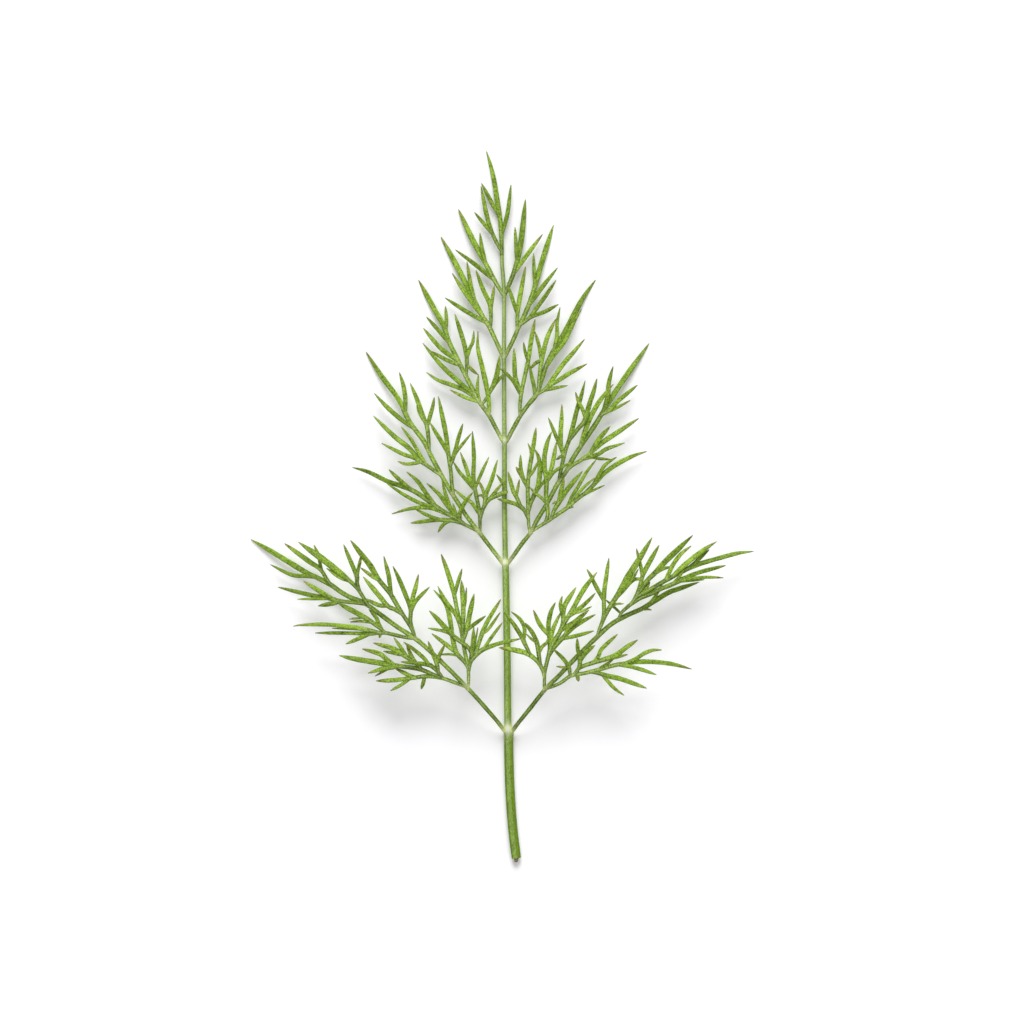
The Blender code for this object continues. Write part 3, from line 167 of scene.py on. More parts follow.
def sectionsOf(line, at, halfWide, halfThick, sides, **looks):
    # a limb as drawn: its line and what its sections are and look like, none lower than the surface
    line[:, 2] = np.maximum(line[:, 2], halfThick)
    none = np.zeros(len(at))
    drawn = dict(stalkness=none, roll=none, joint=none, toTip=at[-1] - at, tone=0.5, ridge=0.0)
    return drawn | dict(line=line, at=at, halfWide=halfWide, halfThick=halfThick, sides=sides) | looks


def fadeAlong(share):
    s = limbShape
    return math.exp(-s["jointFade"] * max(0, share - s["jointFadeFrom"]))


def traceLimb(plan, carrier, order, traced, dice, pale=1.0):
    # adds this limb and those on it to traced; pale is how pale their joints are
    s = limbShape
    if carrier:
        line, at, start = sideLine(plan, carrier)
    else:
        low = plan["points"][0][2]
        line, at = smoothLine([(x, y, low + (z - low) * s["arch"]) for x, y, z in centred(plan["points"])])
    length = at[-1]
    widest = s["broader"] * plan["wide"]
    feet = [footOn(line, *centred(side["points"])[0]) for side in plan["limbs"]]
    if feet:
        last = at[max(feet)]
        stalk = s["stalkWidths"][min(order, 2)]
        beyond = np.clip((at - last) / (length - last), 0, 1)
        grown = np.clip(at / max(last, 0.1), 0, 1)
        width = bladeWidth(beyond, stalk * (1 + s["stalkGrowth"] * grown), max(widest, stalk))
        before, over = s["waxEnd"]
        stalkness = (1 - s["waxLoss"] * grown) * (1 - np.clip((at - last + before) / over, 0, 1))
    else:
        width = bladeWidth(at / length, widest * s["footShare"], widest)
        stalkness = s["footWax"] * np.exp(-at)
    seed = dice.random() * 40
    waves = [share * np.sin(pace * at + (i + 1) * seed) for i, (pace, share) in enumerate(s["waves"])]
    width = width * (1 + sum(waves))
    out = np.maximum(at - (s["footBack"] if carrier else s["insideStalk"]), 0)
    slimness = s["footSlimness"] if order and feet else 0
    halfWide = width / 2 * (1 - slimness * np.exp(-out / s["slimReach"]))
    halfThick = width / 2 * (s["bladeThick"] + (s["stalkThick"] - s["bladeThick"]) * stalkness)
    if carrier:
        wider, thicker = s["footSpread"]
        halfWide = np.minimum(halfWide, s["footInside"] * carrier["halfWide"][start] + wider * at)
        halfThick = np.minimum(halfThick, s["footInside"] * carrier["halfThick"][start] + thicker * at)
    roll = s["roll"] * (dice.random() * 2 - 1) * (1 - stalkness) * at / length
    paleness = pale * s["jointPaleness"][min(order, 3)]
    if carrier:
        paleness *= fadeAlong(carrier["at"][start] / carrier["at"][-1])
    joint = paleness * np.exp(-out / s["jointReach"][min(order, 3)])
    for foot in feet:
        spot = pale * fadeAlong(at[foot] / length) * s["jointPaleness"][min(order + 1, 3)]
        joint = np.maximum(joint, spot * np.exp(-((at - at[foot] - 0.1) / s["jointLength"]) ** 2))
    me = sectionsOf(line, at, halfWide, halfThick, s["stalkSides"] if feet else s["bladeSides"],
                    stalkness=stalkness, roll=roll, joint=joint, tone=dice.random(), seed=seed)
    traced.append(me)
    for side in plan["limbs"]:
        traceLimb(side, me, order + 1, traced, dice, pale)


def limbAxes(me):
    run = np.gradient(me["line"], axis=0)
    run /= np.linalg.norm(run, axis=1)[:, None]
    side = np.cross(run, (0, 0, 1.0))
    side /= np.linalg.norm(side, axis=1)[:, None]
    up = np.cross(side, run)
    c, s = np.cos(me["roll"])[:, None], np.sin(me["roll"])[:, None]
    me.update(run=run, side=side * c + up * s, up=up * c - side * s)


def limbMesh(name, me):
    # rings round the line, closed at both ends by a point a little further out
    s = limbShape
    limbAxes(me)
    n = me["sides"]
    angle = np.arange(n) / n * 2 * math.pi
    u, v = np.cos(angle), np.sin(angle)
    swell = 1 + me["ridge"] * np.cos(s["ridges"] * angle)
    groove = s["bladeGroove"] + (s["stalkGroove"] - s["bladeGroove"]) * me["stalkness"]
    dip = np.outer(groove * me["halfWide"], np.where(v > 0, (1 - u**2) ** 2, 0))
    out = np.outer(me["halfWide"], u * swell)[..., None] * me["side"][:, None]
    high = (np.outer(me["halfThick"], v * swell) - dip)[..., None] * me["up"][:, None]
    rings = me["line"][:, None] + out + high
    rings[..., 2] = np.maximum(rings[..., 2], s["clear"])
    start = me["line"][0] - me["run"][0] * s["capOut"][0]
    end = me["line"][-1] + me["run"][-1] * s["capOut"][1]
    points = np.vstack([rings.reshape(-1, 3), start, end]) * mm
    foot, tip = len(points) - 2, len(points) - 1
    around = [(k, (k + 1) % n) for k in range(n)]
    faces = [(r + a, r + b, r + b + n, r + a + n) for r in range(0, foot - n, n) for a, b in around]
    for a, b in around:
        faces.append((a, foot, b))
        faces.append((foot - n + b, tip, foot - n + a))
    mesh = bpy.data.meshes.new(name)
    mesh.from_pydata(points.tolist(), [], faces)
    mesh.update()
    return bpy.data.objects.new(name, mesh)


def growTogether(name, traced):
    # one closed mesh out of a trunk and all its limbs
    whole = limbMesh(name, traced[0])
    bpy.context.scene.collection.objects.link(whole)
    others = bpy.data.collections.new(name + "Limbs")
    bpy.context.scene.collection.children.link(others)
    for i, me in enumerate(traced[1:]):
        others.objects.link(limbMesh(f"{name}Limb{i}", me))
    union = whole.modifiers.new("grown", "BOOLEAN")
    union.operation = "UNION"
    union.operand_type = "COLLECTION"
    union.collection = others
    union.solver = "MANIFOLD"
    graph = bpy.context.evaluated_depsgraph_get()
    mesh = bpy.data.meshes.new_from_object(whole.evaluated_get(graph))
    whole.modifiers.clear()
    whole.data = mesh
    for piece in list(others.objects):
        bpy.data.meshes.remove(piece.data)
    bpy.data.collections.remove(others)
    mesh.name = name
    mesh.materials.clear()
    mesh.shade_smooth()
    mesh.set_sharp_from_angle(angle=math.radians(60))
    return whole


def nearOn(me, points):
    # for each point: its nearest section's number, and how far out, up and along it is from that
    atOnce = 4000
    nearest = np.empty(len(points), int)
    for i in range(0, len(points), atOnce):
        away = points[i:i + atOnce, None, :] - me["line"][None]
        nearest[i:i + atOnce] = (away**2).sum(-1).argmin(1)
    away = points - me["line"][nearest]
    return nearest, *((away * me[axis][nearest]).sum(1) for axis in ("side", "up", "run"))


def readAll(items, name, width=3, kind=np.float32):
    # one property of all the vertices, corners or faces of a mesh
    values = np.empty(len(items) * width, kind)
    items.foreach_get(name, values)
    return values.reshape(-1, width) if width > 1 else values


def writeCorners(mesh, name, values):
    kind, field = ("FLOAT", "value") if values.ndim == 1 else ("FLOAT_VECTOR", "vector")
    mesh.attributes.new(name, kind, "CORNER").data.foreach_set(field, values.astype(np.float32).ravel())


def mapSurface(piece, traced):
    # writes on each face corner where it is on its own limb, for the materials to read:
    # across runs from -1 at the left edge, looking to the tip, to 1 at the right
    mesh = piece.data
    corners = readAll(mesh.vertices, "co")[readAll(mesh.loops, "vertex_index", 1, np.int32)] / mm
    centres = readAll(mesh.polygons, "center") / mm
    owner = np.zeros(len(centres), int)
    depth = np.full(len(centres), 1e9)
    reach = 1.2     # mm round a limb's line
    for number, me in enumerate(traced):
        low, high = me["line"].min(0) - reach, me["line"].max(0) + reach
        near = np.nonzero(((centres > low) & (centres < high)).all(1))[0]
        if len(near):
            at, out, up, on = nearOn(me, centres[near])
            inside = (out / me["halfWide"][at]) ** 2 + (up / me["halfThick"][at]) ** 2
            inside += (np.abs(on) > 0.5) * 4
            better = inside < depth[near]
            owner[near[better]] = number
            depth[near[better]] = inside[better]
    cornerOwner = np.repeat(owner, readAll(mesh.polygons, "loop_total", 1, np.int32))
    place = np.zeros((len(corners), 3))
    values = {name: np.zeros(len(corners)) for name in ("across", "tip", "stalk", "joint", "tone")}
    for number, me in enumerate(traced):
        mine = np.nonzero(cornerOwner == number)[0]
        if len(mine):
            at, out, up, on = nearOn(me, corners[mine])
            toTip = np.maximum(me["toTip"][at] - on, 0)
            place[mine] = np.column_stack([out, me["at"][at] + on, up + me["seed"]])
            values["across"][mine] = np.clip(out / me["halfWide"][at], -1.2, 1.2)
            values["tip"][mine] = np.exp(-toTip / limbShape["tipReach"])
            values["stalk"][mine] = me["stalkness"][at]
            values["joint"][mine] = me["joint"][at]
            values["tone"][mine] = me["tone"]
    writeCorners(mesh, "place", place)
    for name, value in values.items():
        writeCorners(mesh, name, value)
    return corners, centres, owner


# shader groups, and the short functions that build node trees
def newGroup(name, inputs, outputs):
    group = bpy.data.node_groups.new(name, "ShaderNodeTree")
    for label, kind, value in inputs:
        socket = group.interface.new_socket(label, in_out="INPUT", socket_type="NodeSocket" + kind)
        if value is not None:
            socket.default_value = value
    for label, kind in outputs:
        group.interface.new_socket(label, in_out="OUTPUT", socket_type="NodeSocket" + kind)
    return group, group.nodes.new("NodeGroupInput"), group.nodes.new("NodeGroupOutput")


def add(tree, kind, **values):
    # a node, its settings by name and its inputs by their labels
    node = tree.nodes.new("ShaderNode" + kind)
    for name, value in values.items():
        if hasattr(node, name):
            setattr(node, name, value)
        else:
            put(tree, value, node.inputs[name.replace("_", " ")])
    return node


def put(tree, value, socket):
    if isinstance(value, bpy.types.NodeSocket):
        tree.links.new(value, socket)
    else:
        socket.default_value = value


def sums(tree, operation, a, b=0.0, c=0.0):
    node = tree.nodes.new("ShaderNodeMath")
    node.operation = operation
    for value, socket in zip((a, b, c), node.inputs):
        put(tree, value, socket)
    return node.outputs[0]


def blend(tree, share, a, b, kind="MIX"):
    node = tree.nodes.new("ShaderNodeMix")
    node.data_type = "RGBA"
    node.blend_type = kind
    node.clamp_factor = True
    put(tree, share, node.inputs["Factor"])
    for value, label in ((a, "A"), (b, "B")):
        socket = next(i for i in node.inputs if i.name == label and i.type == "RGBA")
        put(tree, value if isinstance(value, bpy.types.NodeSocket) else (*value[:3], 1), socket)
    return next(o for o in node.outputs if o.type == "RGBA")


def ramp(tree, value, low, high, start=0.0, end=1.0):
    node = tree.nodes.new("ShaderNodeMapRange")
    node.interpolation_type = "SMOOTHSTEP"
    for socket, given in zip(node.inputs, (value, low, high, start, end)):
        put(tree, given, socket)
    return node.outputs[0]


def stretched(tree, place, around, along):
    # the place on a limb, scaled round the limb and along it
    scale = add(tree, "CombineXYZ", X=around, Y=along, Z=around)
    node = tree.nodes.new("ShaderNodeVectorMath")
    node.operation = "MULTIPLY"
    put(tree, place, node.inputs[0])
    put(tree, scale.outputs[0], node.inputs[1])
    return node.outputs[0]


def makeVeins():
    # fine lengthwise ribs that wander a little, from 0 between them to 1 on them
    group, start, end = newGroup("lengthwiseVeins", [
        ("Place", "Vector", None), ("Ribs per mm", "Float", 5.0), ("Length", "Float", 0.25)],
        [("Ribs", "Float")])
    g = start.outputs
    line = stretched(group, g["Place"], g["Ribs per mm"], g["Length"])
    noise = add(group, "TexNoise", Vector=line, Scale=1.0, Detail=3.0, Roughness=0.55)
    put(group, ramp(group, noise.outputs["Fac"], 0.36, 0.64), end.inputs["Ribs"])
    return group


def makeMottle():
    # the fine mottle of a fresh leaf: cells a tenth of a millimetre across, and broader clouds
    group, start, end = newGroup("leafMottle", [
        ("Place", "Vector", None), ("Cells per mm", "Float", 6.0), ("Clouds per mm", "Float", 0.5)],
        [("Cells", "Float"), ("Clouds", "Float")])
    g = start.outputs
    cells = add(group, "TexNoise", Vector=g["Place"], Scale=g["Cells per mm"], Detail=2.0, Roughness=0.6)
    clouds = add(group, "TexNoise", Vector=g["Place"], Scale=g["Clouds per mm"], Detail=2.0)
    put(group, ramp(group, cells.outputs["Fac"], 0.36, 0.56), end.inputs["Cells"])
    put(group, ramp(group, clouds.outputs["Fac"], 0.35, 0.65), end.inputs["Clouds"])
    return group


def makeBands():
    # what changes across a limb: its pale middle line, its right side, and painted shade that darkens it
    # towards its two edges, where its rounded form turns from the light
    group, start, end = newGroup("limbBands", [
        ("Across", "Float", 0.0), ("Wander", "Float", 0.5), ("Middle", "Float", 0.0),
        ("Middle width", "Float", 0.3), ("Soft", "Float", 0.25), ("Margin", "Float", 0.7)],
        [("Line", "Float"), ("Right", "Float"), ("Shaded edges", "Float")])
    g = start.outputs
    sway = 0.16
    shift = sums(group, "MULTIPLY_ADD", g["Wander"], sway, -sway / 2)
    here = sums(group, "ADD", g["Across"], shift)
    away = sums(group, "ABSOLUTE", sums(group, "SUBTRACT", here, g["Middle"]))
    outer = sums(group, "ADD", g["Middle width"], g["Soft"])
    edge = sums(group, "ABSOLUTE", g["Across"])
    put(group, ramp(group, away, outer, g["Middle width"]), end.inputs["Line"])
    put(group, ramp(group, here, 0.05, 0.5), end.inputs["Right"])
    # painted shade: from Margin out to the edge, where a rounded limb turns from the light
    put(group, ramp(group, edge, g["Margin"], 1.0), end.inputs["Shaded edges"])
    return group


veins, mottle, bands = makeVeins(), makeMottle(), makeBands()
print("shader groups made")


def placed(tree, group, **values):
    return add(tree, "Group", node_tree=group, **values).outputs


def read(tree, name):
    node = tree.nodes.new("ShaderNodeAttribute")
    node.attribute_name = name
    return node.outputs["Vector"] if name == "place" else node.outputs["Fac"]


def newMaterial(name, roughness, specular):
    material = bpy.data.materials.new(name)
    material.use_nodes = True
    shader = material.node_tree.nodes["Principled BSDF"]
    shader.inputs["Roughness"].default_value = roughness
    shader.inputs["Specular IOR Level"].default_value = specular
    return material, material.node_tree, shader


def bump(tree, shader, height, strength, distance):
    node = add(tree, "Bump", Height=height, Strength=strength, Distance=distance)
    put(tree, node.outputs["Normal"], shader.inputs["Normal"])


def shaded(tree, color, *shares):
    # the colour, darker by each share's depth where its value is 0, and lighter by a little of it at 1
    product = None
    for value, depth in shares:
        share = sums(tree, "MULTIPLY_ADD", value, 1.3 * depth, 1 - depth)
        product = sums(tree, "MULTIPLY", product, share) if product else share
    grey = add(tree, "CombineColor", Red=product, Green=product, Blue=product)
    return blend(tree, 1.0, color, grey.outputs[0], "MULTIPLY")


freshLeaf = dict(
    blade=(0.211, 0.368, 0.025),       # the middle of a segment
    bladeLight=(0.338, 0.486, 0.071),  # the lighter streaks on it
    # painted shade: the darker colour towards a segment's rounded edges, where it turns from the light
    edgeShade=(0.125, 0.235, 0.006),
    stalk=(0.168, 0.286, 0.014),       # a stalk's sides
    stalkLine=(0.375, 0.465, 0.195),   # the pale groove along its middle
    joint=(0.600, 0.655, 0.290),       # where limbs part
    tip=(0.255, 0.300, 0.060),         # the paler point
    dry=(0.200, 0.150, 0.045),         # the drying point that a few segments have
    # how strongly each of these shows, from 0 to 1
    streaks=0.8,
    edgeShading=0.55,
    groove=0.9,
    joints=0.9,
    tips=0.6,
    specks=0.58,                       # and how dark the fine specks, the clouds and a whole limb get
    clouds=0.2,
    limbs=0.26,
    roughness=0.52,
    specular=0.12,
)


def makeFreshLeaf(name, look):
    material, tree, shader = newMaterial(name, look["roughness"], look["specular"])
    where = read(tree, "place")
    across, tip, stalk = read(tree, "across"), read(tree, "tip"), read(tree, "stalk")
    joint, tone = read(tree, "joint"), read(tree, "tone")
    ribs = placed(tree, veins, Place=where, Ribs_per_mm=3.4, Length=0.5)["Ribs"]
    marks = placed(tree, mottle, Place=where, Cells_per_mm=3.8, Clouds_per_mm=0.5)
    band = placed(tree, bands, Across=across, Wander=marks["Clouds"], Middle=-0.05, Middle_width=0.1,
                  Soft=0.3, Margin=0.55)
    green = blend(tree, sums(tree, "MULTIPLY", ribs, look["streaks"]), look["blade"], look["bladeLight"])
    # painted shade: the blade darker towards its edges
    green = blend(tree, sums(tree, "MULTIPLY", band["Shaded edges"], look["edgeShading"]), green, look["edgeShade"])
    waxy = sums(tree, "MULTIPLY", band["Line"], look["groove"])
    waxy = blend(tree, waxy, look["stalk"], look["stalkLine"])
    color = blend(tree, stalk, green, waxy)
    color = blend(tree, sums(tree, "MULTIPLY", joint, look["joints"]), color, look["joint"])
    color = blend(tree, sums(tree, "MULTIPLY", tip, look["tips"]), color, look["tip"])
    dried = sums(tree, "MULTIPLY", tip, ramp(tree, tone, 0.5, 1.0))
    color = blend(tree, dried, color, look["dry"])
    specks = sums(tree, "MAXIMUM", marks["Cells"], sums(tree, "MULTIPLY", joint, 0.8))
    color = shaded(tree, color, (specks, look["specks"]), (marks["Clouds"], look["clouds"]),
                   (tone, look["limbs"]))
    put(tree, color, shader.inputs["Base Color"])
    rough = sums(tree, "MULTIPLY_ADD", marks["Cells"], 0.12, look["roughness"] - 0.06)
    put(tree, rough, shader.inputs["Roughness"])
    height = sums(tree, "MULTIPLY_ADD", ribs, 0.6, sums(tree, "MULTIPLY", marks["Cells"], 0.4))
    bump(tree, shader, height, 0.5, 0.03 * mm)
    return material


stemSkin = dict(
    left=(0.120, 0.220, 0.016),      # the left side
    right=(0.135, 0.240, 0.002),     # the darker, yellower right side
    band=(0.278, 0.405, 0.088),      # the pale waxy band between them
    # painted shade: the darker colour on the stalk's rounded flanks, where it turns from the light
    edgeShade=(0.112, 0.205, 0.006),
    node=(0.560, 0.585, 0.435),      # the swelling where a pair of pinnae parts from it
    nodeSide=(0.460, 0.520, 0.235),
    # mm: where each swelling is, how far its paleness reaches below and above, and how pale it is
    nodePlaces=[(-44.4, 1.0, 1.1, 1.0), (-11.1, 0.6, 0.7, 0.95), (13.3, 0.5, 0.6, 0.85),
                (30.0, 0.45, 0.55, 0.45), (42.4, 0.4, 0.5, 0.2)],
    halo=0.36,                       # the fainter paleness round each, and how far it reaches
    haloReach=(1.9, 2.4),
    # mm along the leaf, and how pale its skin is there over the whole width
    paleness=[(-44, 0.0), (-42, 0.07), (-12, 0.07), (-9, 0.12), (12, 0.14), (16, 0.24), (50, 0.24)],
    lightness=[(-46, 0.60), (-43, 1.0), (-12, 1.0), (-9, 0.85), (50, 0.85)],   # mm, and how light it is
    # how strongly each of these shows, from 0 to 1
    waxBand=0.9,
    edgeShading=0.6,
    streaks=0.22,
    specks=0.36,                     # and how dark the specks, the clouds and the skin's lightness go
    clouds=0.1,
    lights=0.4,
    roughness=0.46,
    specular=0.11,
)


def makeStemSkin(name, look):
    material, tree, shader = newMaterial(name, look["roughness"], look["specular"])
    where = read(tree, "place")
    across, node, light = read(tree, "across"), read(tree, "node"), read(tree, "light")
    ribs = placed(tree, veins, Place=where, Ribs_per_mm=3.0, Length=0.06)["Ribs"]
    drawn = stretched(tree, where, 1.5, 0.7)     # the stalk's cells are longer than broad
    marks = placed(tree, mottle, Place=drawn, Cells_per_mm=3.8, Clouds_per_mm=0.4)
    band = placed(tree, bands, Across=across, Wander=marks["Clouds"], Middle=-0.17, Middle_width=0.2,
                  Soft=0.42, Margin=0.62)
    color = blend(tree, band["Right"], look["left"], look["right"])
    color = blend(tree, sums(tree, "MULTIPLY", band["Line"], look["waxBand"]), color, look["band"])
    # painted shade: the stalk darker towards its flanks
    color = blend(tree, sums(tree, "MULTIPLY", band["Shaded edges"], look["edgeShading"]), color, look["edgeShade"])
    color = blend(tree, sums(tree, "MULTIPLY", ribs, look["streaks"]), color, look["band"])
    swollen = blend(tree, band["Line"], look["nodeSide"], look["node"])
    color = blend(tree, node, color, swollen)
    specks = sums(tree, "MAXIMUM", marks["Cells"], node)
    color = shaded(tree, color, (specks, look["specks"]), (marks["Clouds"], look["clouds"]),
                   (light, look["lights"]))
    put(tree, color, shader.inputs["Base Color"])
    rough = sums(tree, "MULTIPLY_ADD", marks["Cells"], 0.14, look["roughness"] - 0.07)
    put(tree, rough, shader.inputs["Roughness"])
    height = sums(tree, "MULTIPLY_ADD", ribs, 0.7, sums(tree, "MULTIPLY", marks["Cells"], 0.3))
    bump(tree, shader, height, 0.6, 0.06 * mm)
    return material


cutFlesh = dict(
    light=(0.440, 0.480, 0.240),
    dark=(0.300, 0.330, 0.130),
    roughness=0.6,
    specular=0.2,
)
driedPith = dict(
    light=(0.400, 0.375, 0.245),
    dark=(0.180, 0.140, 0.055),
    roughness=0.7,
    specular=0.15,
)


def makeCutFlesh(name, look):
    material, tree, shader = newMaterial(name, look["roughness"], look["specular"])
    marks = placed(tree, mottle, Place=read(tree, "place"), Cells_per_mm=4.0, Clouds_per_mm=2.0)
    color = blend(tree, marks["Clouds"], look["light"], look["dark"])
    put(tree, color, shader.inputs["Base Color"])
    bump(tree, shader, marks["Cells"], 0.6, 0.05 * mm)
    return material


leafGreen = makeFreshLeaf("freshLeaf", freshLeaf)
stemGreen = makeStemSkin("stemSkin", stemSkin)
cutPale = makeCutFlesh("cutFlesh", cutFlesh)
pithBrown = makeCutFlesh("driedPith", driedPith)
print("materials made")


def finishPiece(piece, traced, node, slot, *materials):
    for material in materials:
        piece.data.materials.append(material)
    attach(piece, "root")
    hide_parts(node)
    print(piece.name, "has", len(traced), "limbs and", len(piece.data.polygons), "faces")


def makePinna(pieceName, pinna):
    traced = []
    traceLimb(pinna["limbs"], None, 0, traced, random.Random(pinna["seed"]), pinna["jointPaleness"])
    piece = growTogether(pieceName, traced)
    mapSurface(piece, traced)
    finishPiece(piece, traced, pinna["node"], "pinna", leafGreen)


# how high the pinnae's own stalks stand over the surface: mm along the leaf, mm high
stalkHeights = dict(
    middle=[(-11.9, 2.1), (-11.1, 2.25), (-9.4, 2.7), (-5.1, 3.6), (-2.4, 4.0), (0, 4.2), (4, 4.2),
            (9, 3.8), (13, 3.2), (17, 2.5), (21.3, 1.7), (26.1, 0.9), (30.9, 0.2), (32.6, 0.0)],
    upper=[(12.6, 2.0), (13.4, 2.1), (15.5, 2.4), (18.2, 2.8), (21, 2.9), (23.7, 2.8), (26.4, 2.6),
           (29.8, 2.2), (33.2, 1.7), (36.2, 1.3), (39.6, 0.8), (45.3, 0.0)],
    high=[(29.5, 1.8), (33.7, 2.1), (36.2, 2.1), (38.4, 2.0), (42.9, 1.5), (48.8, 0.7), (56.3, 0.0)],
    top=[(42.1, 1.5), (44.5, 1.7), (48.2, 1.7), (53, 1.1), (61.4, 0.0)],
)


def raised(pair, points):
    # the points of a stalk of that pair, each with its height
    places, heights = zip(*stalkHeights[pair])
    return [(x, y, round(float(np.interp(y, places, heights)), 2)) for x, y in points]


